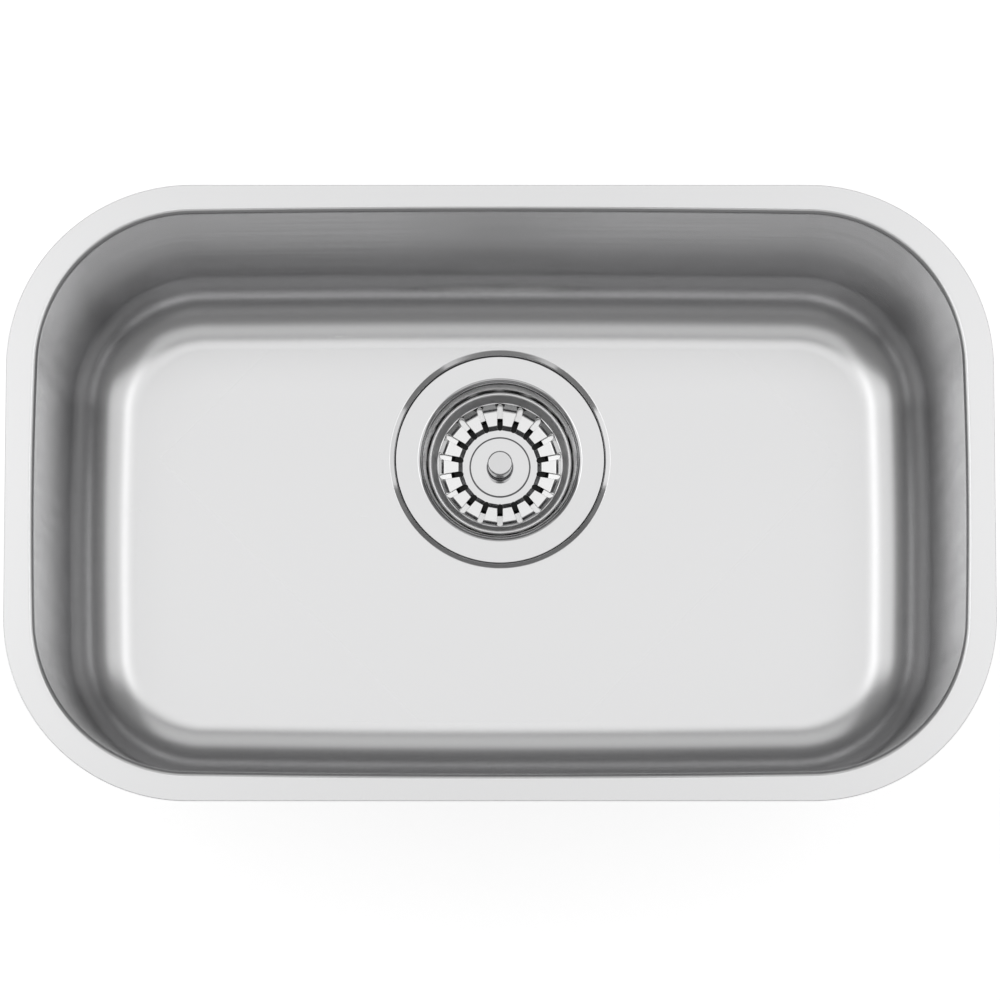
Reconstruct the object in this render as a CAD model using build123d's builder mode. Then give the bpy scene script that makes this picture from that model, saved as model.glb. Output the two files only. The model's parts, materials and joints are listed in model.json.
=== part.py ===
from build123d import *

import os
from math import cos, hypot, radians, tan

# An undermount kitchen sink pressed from one stainless sheet, with its basket strainer.
# Millimetres, +Z up, the front of the sink towards -Y. The origin is the middle of the
# flange's top plane, which is the plane that meets the underside of the worktop.
# Depths of the strainer's pieces are counted down from the strainer's top.

os.makedirs("parts", exist_ok=True)

# ---------------------------------------------------------------- driving dimensions

# Pressed sheet, and how far its flange reaches beyond the opening
sheet = 1.0
flange_end_reach = 15.0
flange_side_reach = 14.0
flange_edge_round = 0.3
rim_bend_radius = 2.2

# Opening and bowl, measured on the inside of the sheet
opening_length = 480.0
opening_width = 292.0
opening_corner_radius = 80.0
long_side_radius = 9850.0
short_side_radius = 2050.0
bowl_depth = 180.0
wall_draft = 3.0
floor_fillet_radius = 36.0
floor_dish_radius = 8000.0

# Strainer recess and drain hole, and the flat floor between the recess and the back wall's fillet
recess_back_gap = 0.1015
recess_radius = 57.5
recess_depth = 4.5
recess_wall_lean = 24.0
recess_bend_radius = 1.0
drain_hole_radius = 45.0

# Sound pads
pad_thickness = 2.5
pad_corner_radius = 12.0
wall_pad_height = 90.0
wall_pad_drop = 33.0
long_wall_pad_length = 260.0
short_wall_pad_length = 116.0
floor_pad_length = 100.0
floor_pad_width = 150.0
floor_pad_end_gap = 54.0

# Strainer body
strainer_flange_radius = 56.5
strainer_flange_thickness = 1.5
strainer_flange_edge = 0.8
strainer_crest_radius = 54.5
strainer_mouth_fall = 0.8
strainer_bend_radius = 3.6
strainer_under_bend_radius = 3.2
throat_top_radius = 42.4
throat_radius = 41.2
throat_depth = 12.0
seat_top_radius = 40.2
seat_top_depth = 28.4
seat_bottom_radius = 21.5
seat_bottom_depth = 38.0
seat_corner_radius = 3.0
cup_wall = 1.4
cup_thread_radius = 43.8
outlet_radius = 20.0
outlet_ledge = 1.6
outlet_lead_in = 1.5
outlet_thread_radius = 23.6
outlet_end_depth = 58.0
thread_play = 0.1

# Cross-grid in the outlet
grid_depth = 43.0
grid_height = 3.5
grid_play = 0.1
grid_ring_width = 1.4
grid_bar_width = 2.4
grid_bar_count = 4
hub_radius = 8.0
hub_hole_radius = 4.9

# What clamps the strainer to the sink
clamp_ring_play = 0.6
flange_gasket_thickness = 1.0
sink_gasket_thickness = 3.0
sink_gasket_radius = 55.0
friction_ring_thickness = 1.0
friction_ring_radius = 54.0
lock_nut_height = 10.0
lock_nut_base = 3.0
lock_nut_radius = 49.5
lock_nut_lug_count = 6
lock_nut_lug_reach = 4.5
lock_nut_lug_width = 12.0

# Outlet pieces
tail_washer_thickness = 2.0
tail_washer_play = 0.6
tail_radius = 19.05
tail_wall = 1.0
tail_flange_radius = 22.6
tail_flange_thickness = 1.4
tail_length = 101.6
coupling_nut_radius = 27.0
coupling_nut_grip = 12.0
coupling_nut_lip = 3.0
coupling_nut_lip_play = 0.9
coupling_nut_rib_count = 8
coupling_nut_rib_reach = 2.2
coupling_nut_rib_width = 4.5

# Basket
basket_sheet = 0.8
basket_rim_depth = 14.0
basket_rim_radius = 39.5
basket_rim_bead = 1.2
band_bottom_radius = 34.2
band_bottom_depth = 21.5
facet_bend_radius = 25.0
facet_bend_depth = 30.2
basket_floor_radius = 20.9
basket_floor_depth = 32.0
slot_count = 18
slot_width = 3.0
slot_inner_reach = 20.5
slot_outer_reach = 33.9
raised_disc_radius = 16.1
raised_disc_height = 0.5

# Stopper disc and what clamps it
seal_radius = 25.5
seal_thickness = 3.5
seal_plate_radius = 14.0
seal_plate_thickness = 1.0
stem_radius = 2.8
stem_hole_play = 0.1
stem_in_knob = 10.0
stem_nut_height = 4.0
stem_nut_flats = 10.0
stem_foot_radius = 4.2
stem_foot_height = 2.2
clip_length = 9.4
clip_radius = 4.3
clip_bead = 0.3
clip_bead_height = 1.6
clip_slit = 1.4

# Knob
knob_radius = 6.8
knob_height = 18.0
knob_base_radius = 7.2
knob_base_height = 1.5
knob_waist_radius = 5.6
knob_waist_height = 3.2
knob_top_round = 0.9

# Clearance between the basket, which moves, and what it stands in
moving_gap = 0.3

# ---------------------------------------------------------------- levels and planes

flange_length = opening_length + 2 * flange_end_reach
flange_width = opening_width + 2 * flange_side_reach
flange_corner_radius = opening_corner_radius + flange_end_reach
wall_pad_middle = wall_pad_drop + wall_pad_height / 2
floor_pad_place = (opening_length - floor_pad_length) / 2 - floor_pad_end_gap

floor_back_edge = (
    opening_width / 2
    - bowl_depth * tan(radians(wall_draft))
    - floor_fillet_radius * tan(radians(90 - wall_draft) / 2)
)
recess_reach = (
    recess_radius
    + recess_depth * tan(radians(recess_wall_lean))
    + (recess_bend_radius + sheet) * tan(radians(90 - recess_wall_lean) / 2)
)
drain_y = floor_back_edge - recess_back_gap - recess_reach

recess_level = -(bowl_depth + recess_depth)
strainer_top = recess_level + flange_gasket_thickness + strainer_flange_thickness
sink_underside_depth = strainer_top - recess_level + sheet
friction_ring_depth = sink_underside_depth + sink_gasket_thickness
lock_nut_depth = friction_ring_depth + friction_ring_thickness
tail_flange_depth = outlet_end_depth + tail_washer_thickness
lip_depth = tail_flange_depth + tail_flange_thickness
knob_foot_depth = basket_floor_depth - raised_disc_height
seal_depth = basket_floor_depth + basket_sheet
seal_plate_depth = seal_depth + seal_thickness
stem_nut_depth = seal_plate_depth + seal_plate_thickness
clip_depth = stem_nut_depth + stem_nut_height + moving_gap
stem_foot_depth = clip_depth + clip_length + moving_gap

drain_axis = Axis((0, drain_y, 0), (0, 0, 1))
drain_section = Plane(origin=(0, drain_y, strainer_top), x_dir=(1, 0, 0), z_dir=(0, -1, 0))


def drain_level(depth):
    """The level plane on the drain's axis, a depth below the strainer's top."""
    return Plane(origin=(0, drain_y, strainer_top - depth))


def round_corner(section, corner, radius):
    """Round the corner of a section that lies nearest to a point."""
    fillet(section.vertices().sort_by_distance(corner)[0], radius)


# ---------------------------------------------------------------- sink bowl


def opening_outline(outset):
    """The opening: four bowed sides, where four large discs overlap, and round corners."""
    long_side_centre = long_side_radius - opening_width / 2
    short_side_centre = short_side_radius - opening_length / 2
    with BuildSketch() as outline:
        with Locations((0, -long_side_centre)):
            Circle(long_side_radius + outset)
        with Locations((0, long_side_centre)):
            Circle(long_side_radius + outset, mode=Mode.INTERSECT)
        with Locations((short_side_centre, 0)):
            Circle(short_side_radius + outset, mode=Mode.INTERSECT)
        with Locations(Location((-short_side_centre, 0, 0), (0, 0, 180))):
            Circle(short_side_radius + outset, mode=Mode.INTERSECT)
        fillet(outline.vertices(), opening_corner_radius + outset)
    return outline.sketch


def bowl_core(outset):
    """The bowl as a closed block: its inner surface moved outwards by the outset."""
    with BuildPart() as core:
        with BuildSketch():
            add(opening_outline(outset / cos(radians(wall_draft))))
        extrude(amount=-(bowl_depth + floor_fillet_radius))
        draft(core.faces().filter_by(Axis.Z, reverse=True), Plane.XY, -wall_draft)
        with Locations((0, drain_y, floor_dish_radius - bowl_depth)):
            Sphere(floor_dish_radius + outset, rotation=(0, -90, 0), mode=Mode.INTERSECT)
        fillet(core.faces().filter_by(GeomType.SPHERE).edges(), floor_fillet_radius + outset)
    return core.part


def recess_block(outset):
    """The strainer's recess as a closed block, from just above its bend to its bottom."""
    lean = tan(radians(recess_wall_lean))
    side_outset = outset / cos(radians(recess_wall_lean))
    height = recess_depth + sheet + recess_bend_radius
    with BuildPart() as block:
        with BuildSketch(Plane(origin=(0, drain_y, recess_level + height))):
            Circle(recess_radius + side_outset + height * lean)
        with BuildSketch(Plane(origin=(0, drain_y, recess_level - outset))):
            Circle(recess_radius + side_outset - outset * lean)
        loft()
    return block.part


with BuildPart() as sink_bowl:
    # outside of the pressing, with the flange and the bend under it
    add(bowl_core(sheet))
    with BuildSketch():
        RectangleRounded(flange_length, flange_width, flange_corner_radius)
    extrude(amount=-sheet)
    under_flange = sink_bowl.faces().filter_by(Plane.XY).sort_by(Axis.Z)[-2]
    fillet(under_flange.inner_wires()[0].edges(), rim_bend_radius)
    add(recess_block(sheet))

    # inside of the pressing
    add(bowl_core(0), mode=Mode.SUBTRACT)
    add(recess_block(0), mode=Mode.SUBTRACT)
    flange_top = sink_bowl.faces().sort_by(Axis.Z)[-1]
    fillet(flange_top.inner_wires()[0].edges(), rim_bend_radius + sheet)
    with Locations((0, drain_y, recess_level)):
        Cylinder(drain_hole_radius, 4 * sheet, mode=Mode.SUBTRACT)

    # bends round the recess, each pair about one centre
    recess_edges = sink_bowl.edges().filter_by(GeomType.CIRCLE)
    recess_edges = recess_edges.filter_by(lambda edge: edge.center().Z < -bowl_depth / 2)
    recess_edges = recess_edges.filter_by(lambda edge: edge.radius < recess_radius + recess_depth)
    recess_edges = recess_edges.filter_by(lambda edge: edge.radius > drain_hole_radius + sheet)
    bottom_outside, bottom_inside, top_outside, top_inside = recess_edges.group_by(Axis.Z)
    fillet(bottom_outside + top_inside, recess_bend_radius + sheet)
    fillet(bottom_inside + top_outside, recess_bend_radius)

    # edge of the flange
    flange_faces = sink_bowl.faces().filter_by(Plane.XY).sort_by(Axis.Z)[-2:]
    flange_edges = [edge for face in flange_faces for edge in face.outer_wire().edges()]
    fillet(flange_edges, flange_edge_round)

sink_bowl.part.label = "sink_bowl"
export_step(sink_bowl.part, "parts/sink_bowl.step")

# ---------------------------------------------------------------- sound pads

with BuildPart() as pad_block:
    add(bowl_core(sheet + pad_thickness))
    add(bowl_core(sheet), mode=Mode.SUBTRACT)
pad_layer = pad_block.part

# outward direction and length of each wall's pad
wall_pads = {
    "wall_pad_front": (Vector(0, -1, 0), long_wall_pad_length),
    "wall_pad_back": (Vector(0, 1, 0), long_wall_pad_length),
    "wall_pad_left": (Vector(-1, 0, 0), short_wall_pad_length),
    "wall_pad_right": (Vector(1, 0, 0), short_wall_pad_length),
}

for pad_name, (outward, pad_length) in wall_pads.items():
    along = Vector(0, 0, 1).cross(outward)
    with BuildPart() as wall_pad:
        add(pad_layer)
        with BuildSketch(Plane(origin=(0, 0, -wall_pad_middle), x_dir=along, z_dir=outward)):
            RectangleRounded(pad_length, wall_pad_height, pad_corner_radius)
        extrude(amount=flange_length, mode=Mode.INTERSECT)
    wall_pad.part.label = pad_name
    export_step(wall_pad.part, f"parts/{pad_name}.step")

for pad_name, pad_x in {"floor_pad_left": -floor_pad_place, "floor_pad_right": floor_pad_place}.items():
    with BuildPart() as floor_pad:
        add(pad_layer)
        with BuildSketch(Plane(origin=(pad_x, 0, -bowl_depth / 2))):
            RectangleRounded(floor_pad_length, floor_pad_width, pad_corner_radius)
        extrude(amount=-bowl_depth, mode=Mode.INTERSECT)
    floor_pad.part.label = pad_name
    export_step(floor_pad.part, f"parts/{pad_name}.step")

# ---------------------------------------------------------------- strainer body

seat_fall = (seat_bottom_depth - seat_top_depth) / (seat_top_radius - seat_bottom_radius)
seat_stretch = hypot(1, seat_fall)
throat_lead = throat_top_radius + strainer_bend_radius


def seat_depth(radius):
    """How deep the strainer's conical seat lies at a radius."""
    return seat_top_depth + (seat_top_radius - radius) * seat_fall


with BuildPart() as strainer_body:
    cup_underside = cup_wall * seat_stretch
    with BuildSketch(drain_section) as cup_section:
        with BuildLine():
            Polyline(
                (strainer_flange_radius, -strainer_flange_thickness),
                (strainer_flange_radius, -strainer_flange_edge),
                (strainer_crest_radius, 0),
                (throat_top_radius, -strainer_mouth_fall),
                (throat_radius, -throat_depth),
                (seat_top_radius, -seat_top_depth),
                (seat_bottom_radius, -seat_bottom_depth),
                (outlet_radius, -seat_bottom_depth - outlet_lead_in),
                (outlet_radius, -grid_depth - grid_height),
                (outlet_radius - outlet_ledge, -grid_depth - grid_height),
                (outlet_radius - outlet_ledge, -outlet_end_depth),
                (outlet_thread_radius, -outlet_end_depth),
                (outlet_thread_radius, -seat_depth(outlet_thread_radius) - cup_underside),
                (cup_thread_radius, -seat_depth(cup_thread_radius) - cup_underside),
                (cup_thread_radius, -strainer_flange_thickness),
                close=True,
            )
        make_face()
        round_corner(cup_section, (strainer_crest_radius, 0), strainer_flange_edge)
        round_corner(cup_section, (throat_top_radius, -strainer_mouth_fall), strainer_bend_radius)
        round_corner(cup_section, (seat_top_radius, -seat_top_depth), seat_corner_radius)
        under_bend = (cup_thread_radius, -strainer_flange_thickness)
        round_corner(cup_section, under_bend, strainer_under_bend_radius)
        outlet_end = (outlet_thread_radius, -outlet_end_depth)
        chamfer(cup_section.vertices().sort_by_distance(outlet_end)[0], outlet_lead_in / 2)
    revolve(axis=drain_axis)

strainer_body.part.label = "strainer_body"
export_step(strainer_body.part, "parts/strainer_body.step")

# the grid stands on the outlet's ledge, and its hub takes the foot of the basket's stem
with BuildPart() as cross_grid:
    grid_radius = outlet_radius - grid_play
    bar_length = grid_radius - grid_ring_width / 2
    with BuildSketch(drain_level(grid_depth)):
        Circle(grid_radius)
        Circle(grid_radius - grid_ring_width, mode=Mode.SUBTRACT)
        Circle(hub_radius)
        with PolarLocations(bar_length / 2, grid_bar_count, start_angle=45):
            Rectangle(bar_length, grid_bar_width)
        Circle(hub_hole_radius, mode=Mode.SUBTRACT)
    extrude(amount=-grid_height)

cross_grid.part.label = "cross_grid"
export_step(cross_grid.part, "parts/cross_grid.step")

# ---------------------------------------------------------------- clamping rings and nut

with BuildPart() as flange_gasket:
    with BuildSketch(drain_level(strainer_flange_thickness)):
        Circle(strainer_flange_radius - clamp_ring_play)
        Circle(cup_thread_radius + strainer_under_bend_radius + clamp_ring_play, mode=Mode.SUBTRACT)
    extrude(amount=-flange_gasket_thickness)

flange_gasket.part.label = "flange_gasket"
export_step(flange_gasket.part, "parts/flange_gasket.step")

with BuildPart() as sink_gasket:
    with BuildSketch(drain_level(sink_underside_depth)):
        Circle(sink_gasket_radius)
        Circle(cup_thread_radius + clamp_ring_play, mode=Mode.SUBTRACT)
    extrude(amount=-sink_gasket_thickness)
    gasket_rims = sink_gasket.edges().filter_by(GeomType.CIRCLE).group_by(SortBy.RADIUS)[-1]
    chamfer(gasket_rims, sink_gasket_thickness / 5)

sink_gasket.part.label = "sink_gasket"
export_step(sink_gasket.part, "parts/sink_gasket.step")

with BuildPart() as friction_ring:
    with BuildSketch(drain_level(friction_ring_depth)):
        Circle(friction_ring_radius)
        Circle(cup_thread_radius + clamp_ring_play, mode=Mode.SUBTRACT)
    extrude(amount=-friction_ring_thickness)

friction_ring.part.label = "friction_ring"
export_step(friction_ring.part, "parts/friction_ring.step")

with BuildPart() as lock_nut:
    with BuildSketch(drain_level(lock_nut_depth)):
        Circle(lock_nut_radius)
        with PolarLocations(lock_nut_radius, lock_nut_lug_count):
            RectangleRounded(2 * lock_nut_lug_reach, lock_nut_lug_width, lock_nut_lug_reach / 3)
    extrude(amount=-lock_nut_height)
    with BuildSketch(drain_level(lock_nut_depth)):
        Circle(friction_ring_radius - clamp_ring_play)
    extrude(amount=-lock_nut_base)
    with BuildSketch(drain_level(lock_nut_depth)):
        Circle(cup_thread_radius + thread_play)
    extrude(amount=-lock_nut_height, mode=Mode.SUBTRACT)

lock_nut.part.label = "lock_nut"
export_step(lock_nut.part, "parts/lock_nut.step")

# ---------------------------------------------------------------- outlet pieces

with BuildPart() as tail_washer:
    with BuildSketch(drain_level(outlet_end_depth)):
        Circle(outlet_thread_radius - tail_washer_play)
        Circle(tail_radius - tail_wall, mode=Mode.SUBTRACT)
    extrude(amount=-tail_washer_thickness)

tail_washer.part.label = "tail_washer"
export_step(tail_washer.part, "parts/tail_washer.step")

with BuildPart() as tail_piece:
    with BuildSketch(drain_level(tail_flange_depth)):
        Circle(tail_flange_radius)
    extrude(amount=-tail_flange_thickness)
    with BuildSketch(drain_level(tail_flange_depth)):
        Circle(tail_radius)
    extrude(amount=-tail_length)
    with BuildSketch(drain_level(tail_flange_depth)):
        Circle(tail_radius - tail_wall)
    extrude(amount=-tail_length, mode=Mode.SUBTRACT)

tail_piece.part.label = "tail_piece"
export_step(tail_piece.part, "parts/tail_piece.step")

with BuildPart() as coupling_nut:
    nut_depth = outlet_end_depth - coupling_nut_grip
    nut_height = lip_depth + coupling_nut_lip - nut_depth
    with BuildSketch(drain_level(nut_depth)):
        Circle(coupling_nut_radius)
        with PolarLocations(coupling_nut_radius, coupling_nut_rib_count):
            Rectangle(2 * coupling_nut_rib_reach, coupling_nut_rib_width)
    extrude(amount=-nut_height)
    chamfer(coupling_nut.faces().sort_by(Axis.Z)[0].edges(), coupling_nut_rib_reach / 2)
    with BuildSketch(drain_level(nut_depth)):
        Circle(outlet_thread_radius + thread_play)
    extrude(amount=-(lip_depth - nut_depth), mode=Mode.SUBTRACT)
    with BuildSketch(drain_level(nut_depth)):
        Circle(tail_radius + coupling_nut_lip_play)
    extrude(amount=-nut_height, mode=Mode.SUBTRACT)

coupling_nut.part.label = "coupling_nut"
export_step(coupling_nut.part, "parts/coupling_nut.step")

# ---------------------------------------------------------------- basket


def mitred(profile, distance):
    """Move an open profile to its right-hand side, with mitred corners."""
    headings = [(end - start).normalized() for start, end in zip(profile, profile[1:])]
    rights = [Vector(heading.Y, -heading.X) for heading in headings]
    moved = [profile[0] + rights[0] * distance]
    for corner, before, after in zip(profile[1:-1], rights, rights[1:]):
        moved.append(corner + (before + after) * (distance / (1 + before.dot(after))))
    moved.append(profile[-1] + rights[-1] * distance)
    return moved


def basket_core(profile):
    """The basket as a closed block: flat facets up from the floor, then a round band."""
    floor_corner, facet_bend, band_bottom, band_top = profile[1:]
    with BuildPart() as core:
        for corner in (floor_corner, facet_bend, band_bottom):
            with BuildSketch(drain_level(-corner.Y)):
                RegularPolygon(corner.X, slot_count, rotation=90)
        loft(ruled=True)
        for corner in (band_bottom, band_top):
            with BuildSketch(drain_level(-corner.Y)):
                Circle(corner.X)
        loft()
    return core.part


# inside of the basket from the middle of its floor to the rolled rim, as radius and level
rim_bead_radius = basket_rim_radius - basket_rim_bead
rim_bead_depth = basket_rim_depth + basket_rim_bead
basket_inside = [
    Vector(0, -basket_floor_depth),
    Vector(basket_floor_radius, -basket_floor_depth),
    Vector(facet_bend_radius, -facet_bend_depth),
    Vector(band_bottom_radius, -band_bottom_depth),
    Vector(rim_bead_radius - basket_sheet, -rim_bead_depth),
]

with BuildPart() as basket_shell:
    add(basket_core(mitred(basket_inside, basket_sheet)))
    add(basket_core(basket_inside), mode=Mode.SUBTRACT)
    with BuildSketch(drain_section):
        with Locations((rim_bead_radius, -rim_bead_depth)):
            Circle(basket_rim_bead)
    revolve(axis=drain_axis)

    # raised middle, slots and the stem's hole
    with BuildSketch(drain_level(basket_floor_depth)):
        Circle(raised_disc_radius)
    extrude(amount=raised_disc_height)
    with BuildSketch(drain_level(band_bottom_depth)):
        with PolarLocations((slot_inner_reach + slot_outer_reach) / 2, slot_count, start_angle=90):
            SlotOverall(slot_outer_reach - slot_inner_reach, slot_width)
    extrude(amount=-(seal_depth - band_bottom_depth), both=True, mode=Mode.SUBTRACT)
    with BuildSketch(drain_level(seal_depth)):
        Circle(stem_radius + stem_hole_play)
    extrude(amount=seal_depth - knob_foot_depth, mode=Mode.SUBTRACT)

basket_shell.part.label = "basket_shell"
export_step(basket_shell.part, "parts/basket_shell.step")

with BuildPart() as basket_seal:
    seat_clearance = moving_gap * seat_stretch
    bevel_radius = seat_top_radius - (seal_plate_depth + seat_clearance - seat_top_depth) / seat_fall
    with BuildSketch(drain_section):
        with BuildLine():
            Polyline(
                (stem_radius + stem_hole_play, -seal_depth),
                (seal_radius, -seal_depth),
                (seal_radius, -seat_depth(seal_radius) + seat_clearance),
                (bevel_radius, -seal_plate_depth),
                (stem_radius + stem_hole_play, -seal_plate_depth),
                close=True,
            )
        make_face()
    revolve(axis=drain_axis)

basket_seal.part.label = "basket_seal"
export_step(basket_seal.part, "parts/basket_seal.step")

with BuildPart() as seal_plate:
    with BuildSketch(drain_level(seal_plate_depth)):
        Circle(seal_plate_radius)
        Circle(stem_radius + stem_hole_play, mode=Mode.SUBTRACT)
    extrude(amount=-seal_plate_thickness)

seal_plate.part.label = "seal_plate"
export_step(seal_plate.part, "parts/seal_plate.step")

with BuildPart() as stem_nut:
    with BuildSketch(drain_level(stem_nut_depth)):
        RegularPolygon(stem_nut_flats / 2, 6, major_radius=False)
        Circle(stem_radius + stem_hole_play, mode=Mode.SUBTRACT)
    extrude(amount=-stem_nut_height)

stem_nut.part.label = "stem_nut"
export_step(stem_nut.part, "parts/stem_nut.step")

with BuildPart() as stem:
    with BuildSketch(drain_level(knob_foot_depth - stem_in_knob)):
        Circle(stem_radius)
    extrude(amount=-(stem_foot_depth - knob_foot_depth + stem_in_knob))
    with BuildSketch(drain_level(stem_foot_depth)):
        Circle(stem_foot_radius)
    extrude(amount=-stem_foot_height)
    fillet(stem.faces().sort_by(Axis.Z)[0].edges(), stem_foot_height / 2)

stem.part.label = "stem"
export_step(stem.part, "parts/stem.step")

with BuildPart() as stem_clip:
    bead_middle = grid_depth + grid_height + moving_gap + clip_bead_height / 2
    with BuildSketch(drain_section):
        with BuildLine():
            Polyline(
                (stem_radius + moving_gap, -clip_depth),
                (clip_radius, -clip_depth),
                (clip_radius, -bead_middle + clip_bead_height / 2),
                (clip_radius + clip_bead, -bead_middle),
                (clip_radius, -bead_middle - clip_bead_height / 2),
                (clip_radius, -clip_depth - clip_length),
                (stem_radius + moving_gap, -clip_depth - clip_length),
                close=True,
            )
        make_face()
    revolve(axis=drain_axis)
    with BuildSketch(drain_level(clip_depth)):
        with Locations((0, -clip_radius)):
            Rectangle(clip_slit, 2 * clip_radius)
    extrude(amount=-clip_length, mode=Mode.SUBTRACT)

stem_clip.part.label = "stem_clip"
export_step(stem_clip.part, "parts/stem_clip.step")

with BuildPart() as knob:
    knob_foot = -knob_foot_depth
    waist_bottom = knob_foot + knob_base_height
    waist_top = waist_bottom + knob_waist_height
    with BuildSketch(drain_section) as knob_section:
        with BuildLine():
            Polyline(
                (stem_radius, knob_foot),
                (knob_base_radius, knob_foot),
                (knob_base_radius, waist_bottom),
                (knob_waist_radius, waist_bottom),
                (knob_waist_radius, waist_top),
                (knob_radius, waist_top + knob_radius - knob_waist_radius),
                (knob_radius, knob_foot + knob_height),
                (0, knob_foot + knob_height),
                (0, knob_foot + stem_in_knob),
                (stem_radius, knob_foot + stem_in_knob),
                close=True,
            )
        make_face()
        round_corner(knob_section, (knob_radius, knob_foot + knob_height), knob_top_round)
        round_corner(knob_section, (knob_waist_radius, waist_bottom), knob_waist_height / 4)
    revolve(axis=drain_axis)

knob.part.label = "knob"
export_step(knob.part, "parts/knob.step")
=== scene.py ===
"""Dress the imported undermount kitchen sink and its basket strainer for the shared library.

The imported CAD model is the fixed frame. Sizes are in millimetres in the classes below and in
metres in every Blender mesh; both share the CAD frame, with +Z up and the front towards -Y.
"""

import json
import logging
import math
from collections.abc import Mapping, Sequence
from dataclasses import dataclass, field
from enum import Enum
from typing import Any

import bmesh
import bpy
import numpy as np
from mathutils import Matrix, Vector

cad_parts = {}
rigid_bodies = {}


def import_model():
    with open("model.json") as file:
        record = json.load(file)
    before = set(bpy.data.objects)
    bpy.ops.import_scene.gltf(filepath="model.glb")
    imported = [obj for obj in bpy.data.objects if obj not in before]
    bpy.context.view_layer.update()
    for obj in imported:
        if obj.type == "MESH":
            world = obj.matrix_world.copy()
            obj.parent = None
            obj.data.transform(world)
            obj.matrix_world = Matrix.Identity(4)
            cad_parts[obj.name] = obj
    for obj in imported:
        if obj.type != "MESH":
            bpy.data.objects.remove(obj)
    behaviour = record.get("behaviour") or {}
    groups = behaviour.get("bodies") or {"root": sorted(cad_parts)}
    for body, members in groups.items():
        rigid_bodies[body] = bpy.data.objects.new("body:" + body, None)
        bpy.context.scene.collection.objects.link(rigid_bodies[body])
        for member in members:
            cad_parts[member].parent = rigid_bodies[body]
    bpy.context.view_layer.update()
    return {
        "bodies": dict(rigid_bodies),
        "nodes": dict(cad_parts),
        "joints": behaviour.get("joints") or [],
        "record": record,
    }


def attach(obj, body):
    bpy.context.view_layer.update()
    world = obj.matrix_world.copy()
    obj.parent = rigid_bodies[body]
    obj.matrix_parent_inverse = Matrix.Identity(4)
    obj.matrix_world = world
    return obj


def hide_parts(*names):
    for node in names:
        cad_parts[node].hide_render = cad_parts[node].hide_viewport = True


MILLIMETRE = 0.001
WELD_DISTANCE = 1e-6
WELD_DECIMALS = 4
WELD_SHIFT = 0.0000173
DRAIN_Y = 41.5
DRAIN_LEVEL = -182.0
DRAIN_PLACE = np.array([0.0, DRAIN_Y, DRAIN_LEVEL])
LOG = logging.getLogger("sink")

Colour = tuple[float, float, float]
Section = tuple[tuple[float, float, float], ...]


# ---------------------------------------------------------------------------- shader graph


@dataclass(frozen=True)
class Signal:
    """An output socket that takes part in arithmetic."""

    graph: "ShaderGraph"
    socket: bpy.types.NodeSocket

    def _math(self, operation: str, first: Any, second: Any) -> "Signal":
        """Add one Math node that takes two operands."""
        return self.graph.add("ShaderNodeMath", {"operation": operation}, {0: first, 1: second})

    def __add__(self, other: Any) -> "Signal":
        """Add a number or signal."""
        return self._math("ADD", self, other)

    def __radd__(self, other: Any) -> "Signal":
        """Add this signal to a number."""
        return self._math("ADD", other, self)

    def __sub__(self, other: Any) -> "Signal":
        """Take a number or signal away."""
        return self._math("SUBTRACT", self, other)

    def __rsub__(self, other: Any) -> "Signal":
        """Take this signal away from a number."""
        return self._math("SUBTRACT", other, self)

    def __mul__(self, other: Any) -> "Signal":
        """Multiply by a number or signal."""
        return self._math("MULTIPLY", self, other)

    def __rmul__(self, other: Any) -> "Signal":
        """Multiply a number by this signal."""
        return self._math("MULTIPLY", other, self)

    def __pow__(self, exponent: Any) -> "Signal":
        """Raise to a power."""
        return self._math("POWER", self, exponent)

    def __abs__(self) -> "Signal":
        """Drop the sign."""
        return self.graph.add("ShaderNodeMath", {"operation": "ABSOLUTE"}, {0: self})

    def ramp(self, low: float, high: float) -> "Signal":
        """Rise smoothly from 0 at low to 1 at high."""
        settings = {"interpolation_type": "SMOOTHSTEP", "clamp": True}
        return self.graph.add("ShaderNodeMapRange", settings, {0: self, 1: low, 2: high})


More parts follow.
